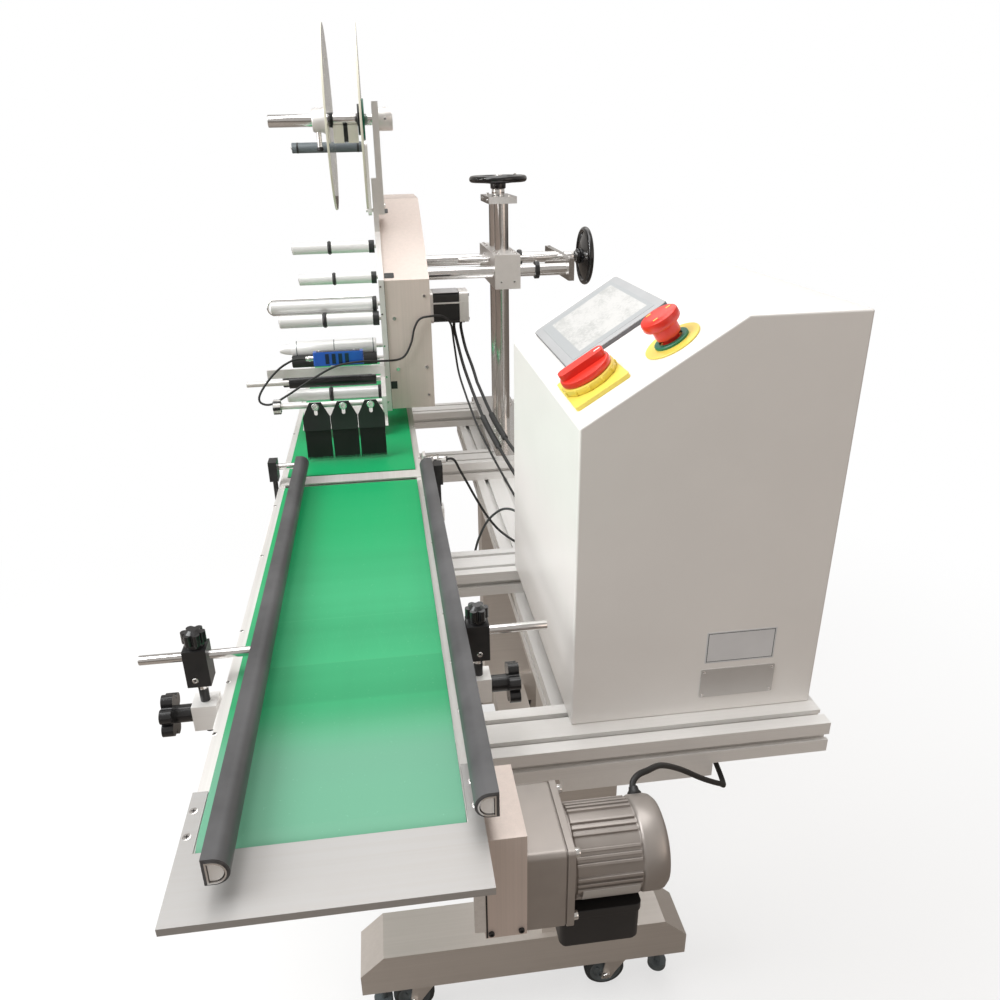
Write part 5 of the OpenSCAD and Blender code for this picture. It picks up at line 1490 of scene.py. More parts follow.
    def estop(self) -> None:
        """Yellow disc, green ring and the red mushroom with its collar."""
        u, y = self.up_slope(self.stop_place), self.stop_place[1]
        centre = (u, y, 0)
        disc = Solid().ring(centre, 11.0, 30.0, 0, 2.0, Axis.Z, 0)
        collar = [(18.5, 1.8), (18.5, 4.2), (17.5, 5.0), (13.0, 5.0), (13.0, 1.8)]
        disc.lathe(collar, centre, Axis.Z, 1, 48, closed=True)
        self.on_slope(disc).piece("estop_disc", "frame", YELLOW, GREEN)
        stem = [(9.5, -4), (9.5, 8.0), (13.0, 9.0), (13.5, 12.0), (13.5, 21.0)]
        cap = [(18.6, 22.4), (20.0, 24.4), (20.0, 30.4), (19.4, 32.2), (17.6, 33.4)]
        crown = [(12.0, 34.1), (7.0, 34.3), (2.0, 34.3)]
        head = Solid().lathe([*stem, *cap, *crown], centre, Axis.Z, 0, 64)
        for k in range(3):
            a = math.radians(k * 120)
            mark_u, mark_y = u + 12.5 * math.cos(a), y + 12.5 * math.sin(a)
            head.box((mark_u - 2.6, mark_y - 1.0, 33.6), (mark_u + 2.6, mark_y + 1.0, 34.25), 1)
        self.on_slope(head).piece("estop_mushroom", "estop", RED, YELLOW, replaces=["estop_button"])

    def switch(self) -> None:
        """Square yellow plate, slotted yellow ring and the red turning handle."""
        u, y = self.up_slope(self.switch_place), self.switch_place[1]
        half_u, half_y = self.switch_half
        outline = rounded((u - half_u, y - half_y), (u + half_u, y + half_y), 4)
        plate = Solid().prism(outline, Axis.Z, 0, 5.0, 0)
        plate.disc((u, y, 0), 31.0, 4.8, 13.0, Axis.Z, 0, 1.6, 64)
        for k in range(self.switch_notches):
            a = 2 * math.pi * (k + 0.5) / self.switch_notches
            notch = (u + 31.0 * math.cos(a), y + 31.0 * math.sin(a), 0)
            plate.disc(notch, 1.5, 6.5, 11.5, Axis.Z, 0, 0.4, 12)
        self.on_slope(plate).piece("switch_plate", "frame", YELLOW, BLACK, bevel=0.6)
        handle = Solid().disc((u, y, 0), 29.0, 13.2, 21.0, Axis.Z, 0, 2.0, 64)
        handle.prism(rounded((u - 27.0, y - 9.0), (u + 27.0, y + 9.0), 7), Axis.Z, 20.0, 28.8, 0)
        handle.prism(rounded((u + 17.0, y - 1.2), (u + 25.0, y + 1.2), 1), Axis.Z, 28.5, 29.0, 1)
        self.on_slope(handle).piece(
            "switch_handle_red", "switch", RED, WHITE, bevel=1.6, replaces=["switch_handle"], segments=3)


# Slides and handwheels


@dataclass
class Handwheel(Assembly):
    """Round-rimmed black wheel with three spokes, a bright hub cap and its screw shaft.

    shaft and boss are each a start and end along the axis, and a radius.
    """

    name: str
    body: str
    node: str
    axis: Axis
    centre: Triple
    shaft: Triple
    boss: Triple
    diameter: float = 125.0
    rim: float = 14.0
    depth: float = 28.0
    spokes: int = 3
    grip_turn: float = 40.0

    def build(self) -> None:
        """Makes rim, spokes, hub, web, grip, shaft and boss."""
        major = (self.diameter - self.rim) / 2
        level = self.depth - self.rim / 2
        middle = (0, 0, 0)
        solid = Solid()
        solid.lathe(circle((major, 0), self.rim / 2, 20, 0, 342), (0, 0, level), Axis.Z, 0, 96, closed=True)
        hub = [(13, 0), (16.5, 2), (17, 12), (16, 22), (13, 26), (11, 27)]
        solid.lathe(hub, middle, Axis.Z, 0, 48)
        hub_cap = [(10.5, 26.5), (10.5, 28.2), (9.0, 29.4), (5.5, 29.6), (5.2, 28.6)]
        solid.lathe(hub_cap, middle, Axis.Z, 1, 48)
        steps = np.linspace(0, 1, 12)
        reach = 11 + (major - 12) * steps
        rise = 15 + (level - 15) * steps**1.5
        for k in range(self.spokes):
            a = 2 * math.pi * k / self.spokes + math.radians(30)
            path = np.stack([reach * math.cos(a), reach * math.sin(a), rise], 1)
            solid.tube(path, 5.6 - 1.4 * np.sin(steps * np.pi), 0, 16)
        edge = major - 3.0
        under = [(14.0, 11.0), (30.0, 12.5), (edge, level - 2.0)]
        over = [(edge, level + 1.0), (30.0, 15.0), (14.0, 14.0)]
        solid.lathe(under + over, middle, Axis.Z, 0, 72, closed=True)
        a = math.radians(self.grip_turn)
        grip = (major * math.cos(a), major * math.sin(a), 0)
        solid.lathe([(3.5, 27.5), (3.5, 30)], grip, Axis.Z, 1, 16)
        low, high, radius = self.shaft
        solid.disc(middle, radius, low, high, Axis.Z, 1, 0.6, 32)
        low, high, radius = self.boss
        solid.disc(middle, radius, low, high, Axis.Z, 1, 1.0, 40)
        turn = np.eye(3) if self.axis == Axis.Z else Z_TO_X
        solid.moved(0, turn, self.centre)
        solid.piece(self.name, self.body, WHEEL_BLACK, CHROME, replaces=[self.node])


@dataclass
class CrossSlide(Assembly):
    """Handwheels, set screws on cap, block and end block, black collars on the arms."""

    arms: Span = (1255.0, 1470.0)
    arm_z: float = 1210.0
    posts: Span = (1319.0, 1405.0)
    cap_top: float = 1356.1
    cap_ends: Span = (1294.0, 1430.0)
    cap_rows: Span = (325.0, 353.0)
    cap_middle: float = 339.0
    cap_left: float = 309.0
    cap_side_z: float = 1349.0
    base_top: float = 852.1
    base_ends: Span = (1262.0, 1462.0)
    base_rows: Span = (300.0, 378.0)
    block_top: float = 1245.1
    block_screws: tuple[float, ...] = (1243.0, 1268.0, 1300.0, 1424.0, 1456.0, 1481.0)
    block_rows: Span = (320.0, 358.0)
    block_left: float = 311.9
    block_near: float = 1234.3
    block_side_z: Span = (1190.0, 1230.0)

    def build(self) -> None:
        """Makes them."""
        Handwheel(
            "height_wheel_rim", "height_wheel", "height_handwheel", Axis.Z, (339, 1362, 1368.3),
            shaft=(-516, 1, 8), boss=(-12, 1, 14)).build()
        Handwheel(
            "cross_wheel_rim", "cross_wheel", "cross_handwheel", Axis.X, (510, 1344, 1224),
            shaft=(-264, 1, 6), boss=(-27.7, 1, 11)).build()
        self.arm_parts()
        self.cap()
        self.block()

    def arm_parts(self) -> None:
        """Black collars on the arms and the screws of their end blocks."""
        parts = Solid()
        for y in self.arms:
            parts.ring((0, y, self.arm_z), 12.7, 18.2, 399.5, 408.6, Axis.X, 1)
            screws(parts, [(404, y, self.arm_z + 18)], Axis.Z, 1, 2.2, 1.2, 0, 1)
            screws(parts, [(476, y, self.arm_z + 23.1)], Axis.Z, 1, 3.2, 2.2, 0, 1)
            screws(parts, [(482.1, y + 9, self.arm_z + 9)], Axis.X, 1, 3.0, 2.0, 0, 1)
        parts.piece("arm_collars_and_screws", "head", CHROME, DARK)

    def cap(self) -> None:
        """Screws of the posts' cap plate and foot plate."""
        cap = Solid()
        for y in self.cap_ends:
            screws(cap, [(x, y, self.cap_top) for x in self.cap_rows], Axis.Z, 1, 3.4, 2.4, 0, 1)
        for y in self.posts:
            screws(cap, [(self.cap_middle, y, self.cap_top)], Axis.Z, 1, 4.4, 2.6, 0, 1)
            screws(cap, [(self.cap_left, y, self.cap_side_z)], Axis.X, -1, 2.6, 1.2, 0, 1)
        for y in self.base_ends:
            screws(cap, [(x, y, self.base_top) for x in self.base_rows], Axis.Z, 1, 4.6, 4.0, 0, 1)
        cap.piece("post_cap_screws", "frame", CHROME, DARK)

    def block(self) -> None:
        """Screws on the slide block's top, left and near faces."""
        block = Solid()
        for y in self.block_screws:
            screws(block, [(x, y, self.block_top) for x in self.block_rows], Axis.Z, 1, 2.8, 1.8, 0, 1)
        low, high = self.block_side_z
        left = [(self.block_left, y, z) for y in self.posts for z in (low, high)]
        screws(block, left, Axis.X, -1, 2.8, 1.6, 0, 1)
        near = [(x, self.block_near, low) for x in self.cap_rows]
        screws(block, near, Axis.Y, -1, 2.8, 1.6, 0, 1)
        block.piece("slide_block_screws", "carriage", CHROME, DARK)


# Label head


@dataclass(frozen=True)
class GuideRoller:
    """One guide roller's number, its axis in Y and Z, and its length."""

    number: int
    y: float
    z: float
    length: float


@dataclass
class Head(Assembly):
    """Cover screws and slots, feed motor, rollers, rewind, dancer, sensor and bar parts."""

    rollers: tuple[GuideRoller, ...] = (
        GuideRoller(1, 1075.0, 1013.0, 188.0),
        GuideRoller(2, 1085.0, 1155.0, 188.0),
        GuideRoller(3, 1440.0, 1182.0, 176.0),
        GuideRoller(4, 1360.0, 1259.0, 176.0),
    )
    roller_face: float = 64.0
    cover_near: float = 1042.9
    cover_corner: Span = (1043.2, 1230.6)
    cover_slope: Span = (259.0, 129.0)
    cover_slots: tuple[float, ...] = (7.0, 232.0)
    slot_x: Span = (78.5, 96.5)
    slot_width: float = 16.0
    seam_x: Span = (76.7, 77.6)
    seam_z: Span = (985.0, 1229.0)
    notch_x: Span = (78.0, 90.0)
    notch_z: Span = (1025.0, 1040.0)
    cover_screws: tuple[Span, ...] = ((150, 1200), (150, 1010))
    bright_screws: tuple[Span, ...] = ((92, 1160.6), (93.5, 1063.6), (148.4, 1065))
    edge_screws_x: float = 70.0
    edge_screws_y: float = 1039.9
    edge_screws_z: tuple[float, ...] = (1000.0, 1050.0, 1110.0, 1170.0, 1220.0)
    arm_face: float = 89.1
    arm_screws_y: tuple[float, ...] = (1206.0, 1224.0)
    arm_screws_z: float = 1350.0
    reel_axis: Span = (1215.0, 1505.0)
    boss_radius: float = 20.1
    boss_screw_x: float = 101.0
    motor_axis: Span = (1160.0, 1160.0)
    motor_half: float = 30.0
    motor_run: Span = (161.2, 243.0)
    motor_stack: Span = (172.0, 224.0)
    lamination: float = 2.0
    feed_axis: Span = (1150.0, 1088.0)
    nip_axis: Span = (1132.0, 1066.8)
    feed_run: Span = (-114.0, 54.0)
    feed_radius: float = 15.5
    rewind_axis: Span = (1100.0, 1180.0)
    rewind_run: Span = (-139.0, 63.0)
    clip_radius: float = 13.5
    clip_bend: float = -134.0
    dancer_foot: Span = (1445.0, 1328.0)
    dancer_tip: Span = (1425.0, 1459.0)
    dancer_round: float = 11.0
    dancer_plate: Span = (56.0, 64.0)
    dancer_end: float = -96.0
    press_axis: Span = (1032.0, 1051.0)
    bar_axis: Span = (1050.0, 1050.0)
    brush_rod: Span = (877.0, 1050.0)
    knob_run: Span = (-126.6, -113.8)
    knob_lobes: int = 6
    brush_face: float = 861.8
    brush_screws: tuple[float, ...] = (-55.0, -8.0, 39.0)
    label_eye: Span = (1010.0, 1100.0)
    product_eye: Span = (763.0, 978.0)

    def build(self) -> None:
        """Makes all the pieces."""
        self.cover()
        self.reel_arm()
        self.motor()
        for row in self.rollers:
            self.roller(row)
        self.feed()
        self.nip()
        self.rewind()
        self.dancer()
        self.bars()
        self.brush_parts()
        self.label_sensor()
        self.product_sensor()

    def cover(self) -> None:
        """Dark slots on the sloped top, a seam, and screws on the near face."""
        solid = Solid()
        near = self.cover_near
        screws(solid, [(x, near, z) for x, z in self.cover_screws], Axis.Y, -1, 3.0, 1.8, 0, 1)
        edge = [(self.edge_screws_x, self.edge_screws_y, z) for z in self.edge_screws_z]
        screws(solid, edge, Axis.Y, -1, 2.0, 1.0, 0, 1)
        run, rise = self.cover_slope
        tilt = math.atan2(rise, run)
        turn = [[1, 0, 0], [0, math.cos(tilt), -math.sin(tilt)], [0, math.sin(tilt), math.cos(tilt)]]
        x0, x1 = self.slot_x
        for along in self.cover_slots:
            first = len(solid.points)
            solid.prism(rounded((x0, along), (x1, along + self.slot_width), 2.5), Axis.Z, -0.4, 0.35, 1)
            solid.moved(first, np.array(turn), (0, *self.cover_corner))
        for (x0, x1), (z0, z1), under, over in (
            (self.seam_x, self.seam_z, 0.3, 0.05),
            (self.notch_x, self.notch_z, 0.2, 0.2),
        ):
            solid.box((x0, near - under, z0), (x1, near + over, z1), 1)
        screws(solid, [(x, near, z) for x, z in self.bright_screws], Axis.Y, -1, 3.6, 2.0, 0, 0)
        solid.piece("head_cover_trim", "head", CHROME, DARK)

    def reel_arm(self) -> None:
        """Screws of the reel's arm and the boss at its top."""
        arm = Solid()
        y, z = self.reel_axis
        foot = [(self.arm_face, at, self.arm_screws_z) for at in self.arm_screws_y]
        screws(arm, foot, Axis.X, 1, 4.0, 2.4, 0, 1)
        boss = [(20.3, 89.2), (20.3, 112.5), (19.2, 114.6), (13.5, 115.2), (13.5, 113.5)]
        arm.lathe(boss, (0, y, z), Axis.X, 2, 64)
        screws(arm, [(self.boss_screw_x, y, z + self.boss_radius)], Axis.Z, 1, 2.8, 0.9, 0, 1)
        screws(arm, [(self.boss_screw_x, y - self.boss_radius, z)], Axis.Y, -1, 2.8, 0.9, 0, 1)
        arm.piece("reel_arm_trim", "head", CHROME, DARK, PLATE)

    def motor(self) -> None:
        """Square stepping motor: laminated black middle between bright cast ends.

        The stack is one tube of rounded squares whose size dips by a small inset at each lamination.
        """
        y, z = self.motor_axis
        h = self.motor_half
        y0, y1, z0, z1 = y - h, y + h, z - h, z + h
        back, front = self.motor_run
        x0, x1 = self.motor_stack
        step, edge = self.lamination, 0.35
        solid = Solid()
        solid.prism(rounded((y0, z0), (y1, z1), 6), Axis.X, back, x0, 1)
        outline = np.asarray(rounded((y0 + 1, z0 + 1), (y1 - 1, z1 - 1), 8))
        rings = []
        for x in np.arange(x0, x1, step):
            for at, inset in ((x, edge), (x + step / 4, 0.0), (x + step * 3 / 4, 0.0), (x + step, edge)):
                ring = (outline - (y, z)) * (1 - inset / (h - 1)) + (y, z)
                rings.append(np.column_stack([np.full(len(ring), at), ring]))
        solid.grid(np.asarray(rings), 0)
        solid.prism(rounded((y0, z0), (y1, z1), 6), Axis.X, x1 + 0.5, front, 1)
        solid.disc((0, y, z), 15, front - 0.5, front + 1.6, Axis.X, 0, 0.8)
        for at in (y0 + 6.5, y1 - 6.5):
            screws(solid, [(front, at, z0 + 6.5), (front, at, z1 - 6.5)], Axis.X, 1, 3.0, 1.4, 0, 0)
        solid.box((208, y - 13, z0 - 3.5), (236, y + 13, z0 + 1), 0)
        solid.prism(rounded((x0 + 0.5, y0 + 2), (x1 - 0.5, y1 - 2), 2), Axis.Z, z1 - 1.2, z1 - 0.1, 2)
        solid.box((back + 0.3, y0 - 0.4, z + 8), (front - 0.4, y0 + 2, z + 11), 1)
        solid.piece("feed_motor_stack", "head", DARK, PLATE, SATIN, bevel=0.35, replaces=["feed_motor"])

    def roller(self, row: GuideRoller) -> None:
        """White-bright tube with black middle ring, end collar, and the bright pin end.

        Args:
            row: Which roller.
        """
        far = self.roller_face
        near = far - row.length
        mid = far - row.length * 0.55
        centre = (0, row.y, row.z)
        solid = Solid()
        outside = [(12, near + 1.0), (11, near), (5.2, near), (5.2, near + 8), (4.1, near + 9)]
        inside = [(4.1, far - 9), (5.2, far - 8), (5.2, far), (11, far), (12, far - 1)]
        solid.lathe([*outside, *inside], centre, Axis.X, 0, 48, closed=True)
        ring = [(11.6, mid - 4.5), (12.4, mid - 3.7), (14.2, mid - 1.2)]
        ring += [(14.2, mid + 1.2), (12.4, mid + 3.7), (11.6, mid + 4.5)]
        solid.lathe(ring, centre, Axis.X, 1, 48, closed=True)
        solid.ring(centre, 11.5, 13.5, far - 12.0, far, Axis.X, 1)
        solid.ring(centre, 4.6, 11.0, near - 0.5, near + 0.6, Axis.X, 2)
        n = row.number
        solid.piece(
            f"guide_roller_tube_{n}", f"roller_{n}", ROLLER, BLACK, CHROME, replaces=[f"guide_roller_{n}"])
        pin = Solid().lathe([(4.0, near - 0.2), (4.0, near - 1.2), (3.4, near - 1.8)], centre, Axis.X, 0, 24)
        pin.piece(f"guide_roller_pin_{n}", "head", CHROME)

    def feed(self) -> None:
        """Pale feed roller with its tapered tip and thin dark rings."""
        x0, x1 = self.feed_run
        r, bore = self.feed_radius, 4.1
        centre = (0, *self.feed_axis)
        solid = Solid()
        face = [(bore, x1), (r - 0.8, x1), (r, x1 - 0.8), (r, x0 + 1), (r - 0.7, x0)]
        tip = [(11.5, x0 - 0.4), (9.5, x0 - 14), (7.2, x0 - 22), (6.2, x0 - 24), (bore, x0 - 24)]
        solid.lathe([*face, *tip], centre, Axis.X, 0, 64, closed=True)
        for x in (x1 - 6, x0 + 10, x0 + 84):
            solid.ring(centre, 15.0, 15.75, x - 0.8, x + 0.8, Axis.X, 1)
        solid.piece("feed_roller_tube", "feed", ROLLER, HUB, replaces=["feed_roller"])

    def nip(self) -> None:
        """Black nip roller."""
        x0, x1 = self.feed_run
        centre = (0, *self.nip_axis)
        nip = Solid()
        wall = [(4.1, x1), (11.0, x1), (12, x1 - 1), (12, x0 + 1), (11, x0), (4.1, x0)]
        nip.lathe(wall, centre, Axis.X, 0, 48, closed=True)
        nip.ring(centre, 4.3, 10.4, x0 - 0.6, x0 + 0.5, Axis.X, 1)
        nip.piece("nip_roller_sleeve", "nip", RUBBER, CHROME, replaces=["nip_roller"])

    def rewind(self) -> None:
        """Rewind tube with its U-shaped wire clip and black collar."""
        y, z = self.rewind_axis
        r, bend_x = self.clip_radius, self.clip_bend
        solid = Solid()
        x0, x1 = self.rewind_run
        wall = [(4.1, x1), (10.2, x1), (11, x1 - 1), (11, x0 + 1), (10.2, x0), (4.1, x0)]
        solid.lathe(wall, (0, y, z), Axis.X, 0, 48, closed=True)
        bend = np.radians(np.linspace(90, 270, 17))
        arc = [(bend_x + 11 * math.cos(a), y, z + r * math.sin(a)) for a in bend]
        above = [(x, y, z + r) for x in (55, 20, -80)]
        below = [(x, y, z - r) for x in (-80, 20, 55)]
        solid.tube(curve([*above, *arc, *below], 90), 2.0, 1, 14)
        solid.ring((0, y, z), 10.5, 14.5, 53, 61, Axis.X, 2)
        solid.piece("rewind_tube_and_clip", "rewind", ROLLER, CHROME, BLACK, replaces=["rewind_spool"])

    def dancer(self) -> None:
        """Dancer arm plate and its dark roller."""
        (y0, z0), (y1, z1) = self.dancer_foot, self.dancer_tip
        r = self.dancer_round
        angle = math.degrees(math.atan2(z1 - z0, y1 - y0))
        tip_end = circle((y1, z1), r, 20, angle - 90, angle + 90)
        foot_end = circle((y0, z0), r, 20, angle + 90, angle + 270)
        near, end = self.dancer_plate[0], self.dancer_end
        solid = Solid().prism(tip_end + foot_end, Axis.X, *self.dancer_plate, 0)
        sleeve = [(10.5, near), (10.5, end + 1), (9.8, end), (3, end)]
        solid.lathe(sleeve, (0, y1, z1), Axis.X, 1, 48)
        solid.lathe([(3.2, end + 0.1), (3.2, end - 1.2), (2.4, end - 2)], (0, y1, z1), Axis.X, 2, 20)
        for x in (44.0, -84.0):
            solid.ring((0, y1, z1), 10.2, 10.8, x - 2, x + 2, Axis.X, 3)
        screws(solid, [(near - 0.1, y0, z0)], Axis.X, -1, 4.0, 2.0, 2, 3)
        solid.piece(
            "dancer_arm_and_roller", "dancer", PLATE, HUB, CHROME, BLACK, bevel=0.6, replaces=["dancer_arm"])

    def bars(self) -> None:
        """Black sleeves over the press rod and the bar beside it."""
        solid = Solid()
        solid.disc((0, *self.press_axis), 11.3, -113.4, 50.3, Axis.X, 0, 1.0)
        solid.disc((0, *self.bar_axis), 12.3, -126.4, -113.6, Axis.X, 0, 1.5)
        solid.piece("press_sleeve", "head", DARK)

    def brush_parts(self) -> None:
        """The brush rod's lobed knob, and the brush plates' screws."""
        knob = Solid()
        y, z = self.brush_rod
        low, high = self.knob_run
        for k in range(self.knob_lobes):
            a = 2 * math.pi * k / self.knob_lobes
            knob.disc((0, y + 9 * math.cos(a), z + 9 * math.sin(a)), 4.0, low, high, Axis.X, 0, 1.0, 20)
        knob.disc((0, y, z), 10.5, low, high, Axis.X, 0, 1.2)
        knob.piece("brush_rod_knob", "head", KNOB)
        heads = Solid()
        for x in self.brush_screws:
            head = [(4.6, 0.2), (4.6, -1.0), (3.9, -2.8), (2.4, -3.5), (2.0, -2.6)]
            heads.lathe(head, (x, self.brush_face, z), Axis.Y, 0, 24)
            heads.ring((x, self.brush_face, z), 3.0, 6.4, -0.35, 0.35, Axis.Y, 0)
        heads.piece("brush_screws", "head", CHROME)

    def label_sensor(self) -> None:
        """Blue label sensor with its bright foot, dark ribs, lamps and bright plug."""
        y, z = self.label_eye
        solid = Solid()
        solid.prism(rounded((-62, y - 8), (30, y + 8), 3), Axis.Z, z - 13, z + 12, 0)
        solid.box((-31.3, y - 8, z - 18.4), (-16, y + 8, z - 12.5), 1)
        solid.prism(rounded((-56, y - 5.5), (24, y + 5.5), 2), Axis.Z, z + 11.5, z + 13.2, 2)
        solid.disc((-50, y, 0), 2.4, z + 13, z + 14.6, Axis.Z, 3, 0.5, 20)
        solid.disc((14, y, 0), 1.8, z + 13, z + 14.2, Axis.Z, 3, 0.5, 20)
        for x in (-40.0, -28.0, -16.0, -4.0):
            solid.box((x, y - 8.6, z - 10), (x + 7, y - 7.8, z + 9), 2)
        plug = [(4.5, -62), (4.5, -66), (5.2, -66.5), (5.2, -71), (4.2, -72), (4.2, -76)]
        solid.lathe(plug, (0, y, z), Axis.X, 3, 24)
        solid.piece(
            "label_sensor_housing", "head", BLUE, PLATE, CLEAR_BLUE, CHROME,
            bevel=0.7, replaces=["label_sensor"])

    def product_sensor(self) -> None:
        """Threaded barrel with two nuts on its bent plate beside the belt."""
        y, z = self.product_eye
        near = Solid()
        near.disc((0, y, z), 6.0, 124.2, 158, Axis.X, 0, 0.8, 32)
        for x in (133.0, 142.0):
            near.lathe([(9, x), (9, x + 4)], (0, y, z), Axis.X, 0, 6)
        near.disc((0, y, z), 4.6, 157.5, 160.5, Axis.X, 2, 0.8, 24)
        bracket = rounded((119.2, z - 62), (124, z + 12), 0.6)
        near.prism([(b, a) for a, b in bracket][::-1], Axis.Y, y - 12, y + 12, 1)
        near.piece(
            "product_sensor_barrel", "frame", CHROME, PLATE, BLACK, bevel=0.25, replaces=["product_sensor"])


@dataclass
class Reel(Assembly):
    """Clear discs with cream rims that are a painted glow of their cut edges, spindle, lever, black and green
    rings, and the cream core block.
    """

    y: float = 1215.0
    z: float = 1505.0
    radius: float = 160.0
    discs: tuple[Span, ...] = ((55.0, 59.0), (-5.0, -1.0))
    bore: float = 10.6
    rim: float = 1.6
    holes: int = 6
    hole_ring: float = 112.0
    hole_radii: Span = (15.2, 16.0)
    blocks: tuple[Span, ...] = ((3.0, 22.0), (30.0, 49.0))
    block_half: float = 16.0
    block_drop: Span = (40.0, 9.0)
    lever_x: float = -25.0

    def build(self) -> None:
        """Makes the reel."""
        centre = (0, self.y, self.z)
        clear = Solid()
        for low, high in self.discs:
            clear.ring(centre, self.bore, self.radius - self.rim / 2, low, high, Axis.X, 0, 160)
        clear.piece("reel_discs", "reel", CLEAR, replaces=["label_reel"])
        # Painted glow: the cream rims and the rings round the holes stand in for light caught in the clear
        # discs' cut edges.
        rims = Solid()
        for low, high in self.discs:
            rims.ring(centre, self.radius - self.rim, self.radius, low, high, Axis.X, 0, 160)
            for k in range(self.holes):
                a = 2 * math.pi * k / self.holes + math.radians(12)
                hole = (0, self.y + self.hole_ring * math.cos(a), self.z + self.hole_ring * math.sin(a))
                rims.ring(hole, *self.hole_radii, low - 0.1, high + 0.1, Axis.X, 0, 40)
        rims.piece("reel_rims", "reel", CREAM_AND_EDGE_GLOW)
        self.hub()

    def hub(self) -> None:
        """Spindle, hub cone and rings, cream blocks and the lever with its knob."""
        y, z = self.y, self.z
        centre = (0, y, z)
        axle = Solid()
        axle.disc(centre, 11.0, -117, 59, Axis.X, 0, 1.2)
        axle.disc(centre, 10.0, 58, 109, Axis.X, 0, 0.8)
        axle.lathe([(24, -5.2), (24, -12), (21, -18), (21, -32), (19, -35), (11, -35)], centre, Axis.X, 1, 64)
        axle.ring(centre, 11, 27, 50, 54.6, Axis.X, 2)
        axle.ring(centre, 11, 36, 59.2, 62.5, Axis.X, 3)
        axle.ring(centre, 10.5, 13, -1, 4, Axis.X, 4)
        half = self.block_half
        deep, shallow = self.block_drop
        for low, high in self.blocks:
            axle.box((low, y - half, z - deep), (high, y + half, z - shallow), 5)
        axle.box((21.0, y - 13, z - 38), (31.0, y + 13, z - shallow), 4)
        lever = [(self.lever_x, y, z - drop) for drop in (17, 30, 40, 47)]
        axle.tube(np.array(lever), 4.6, 0, 20)
        axle.disc((self.lever_x, y, 0), 6.5, z - 54, z - 46, Axis.Z, 2, 2.0, 24)
        screws(axle, [(self.lever_x - 1, y, z + 21)], Axis.Z, 1, 3.0, 1.0, 0, 2)
        axle.piece("reel_spindle_and_hub", "reel", CHROME, PLATE, BLACK, GREEN, RUBBER, CREAM_AND_EDGE_GLOW, bevel=0.4)


@dataclass
class Brushes(Assembly):
    """Three rows of fine bristles under their black plates."""

    count: int = 3
    x0: float = -78.0
    width: float = 46.0
    pitch: float = 47.0
    margin: float = 0.7
    y: Span = (865.4, 869.6)
    top: float = 1011.0
    tip: float = 953.4
    tip_spread: float = 2.4
    across: int = 52
    rows: int = 4
    jitter: float = 0.12
    lean: float = 0.55
    radius: float = 0.34
    taper: float = 0.45
    seed: int = 7

    def build(self) -> None:
        """Makes each brush's bristles with the slice of backing that holds them."""
        rng = np.random.default_rng(self.seed)
        for k in range(self.count):
            left = self.x0 + self.pitch * k + self.margin
            right = left + self.width - 2 * self.margin
            solid = self.strands(left, rng)
            solid.box((left - 0.2, 865.0, 1007.6), (right + 0.2, 870.0, 1013.0))
            solid.box((left + 0.4, 866.2, self.tip + 5.0), (right - 0.6, 868.8, 1008.0))
            solid.piece(f"bristles_{k + 1}", "brush", BRISTLE, replaces=["brush_bristles"] if k == 0 else ())

    def strands(self, left: float, rng: np.random.Generator) -> Solid:
        """Four-sided tapered strands in a grid, each moved and leaned at random.

        A strand is three rings of four corners. Its middle moves aside with the square of the way down.

        Args:
            left: X where the grid begins.
            rng: The seeded generator.

        Returns:
            The strands.
        """
        near, far = self.y
        i, j = np.meshgrid(np.arange(self.across), np.arange(self.rows), indexing="ij")
        span = self.width - 2 * self.margin
        x = left + (i + 0.5) / self.across * span + rng.normal(0, self.jitter, i.shape)
        y = near + (j + 0.5) / self.rows * (far - near) + rng.normal(0, self.jitter, i.shape)
        lean = rng.normal(0, self.lean, (*i.shape, 2))
        tip = self.tip + rng.uniform(0, self.tip_spread, i.shape)
        t = np.array([0.0, 0.5, 1.0])
        z = self.top + (tip[..., None] - self.top) * t
        cx = x[..., None] + lean[..., :1] * t**2
        cy = np.clip(y[..., None] + lean[..., 1:] * t**2, near - 0.5, far + 0.5)
        radius = self.radius * (1 - self.taper * t)
        corner = np.radians([45, 135, 225, 315])
        across = cx[..., None] + radius[:, None] * np.cos(corner)
        along = cy[..., None] + radius[:, None] * np.sin(corner)
        points = np.stack([across, along, np.broadcast_to(z[..., None], across.shape)], -1)
        points = points.reshape(-1, 12, 3)
        ring = np.arange(4)
        after = (ring + 1) % 4
        sides = [np.stack([a + ring, a + after, a + 4 + after, a + 4 + ring], 1) for a in (0, 4)]
        shape = np.concatenate([*sides, [[3, 2, 1, 0], [8, 9, 10, 11]]])
        faces = (shape[None] + 12 * np.arange(len(points))[:, None, None]).reshape(-1, 4)
        return Solid().add(points.reshape(-1, 3), faces.tolist())


def middle_of(node: str) -> np.ndarray:
    """Middle of a CAD node's box in the machine's millimetres."""
    low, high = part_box(node)
    return (np.array(low) + np.array(high)) / 2 / MM - ORIGIN


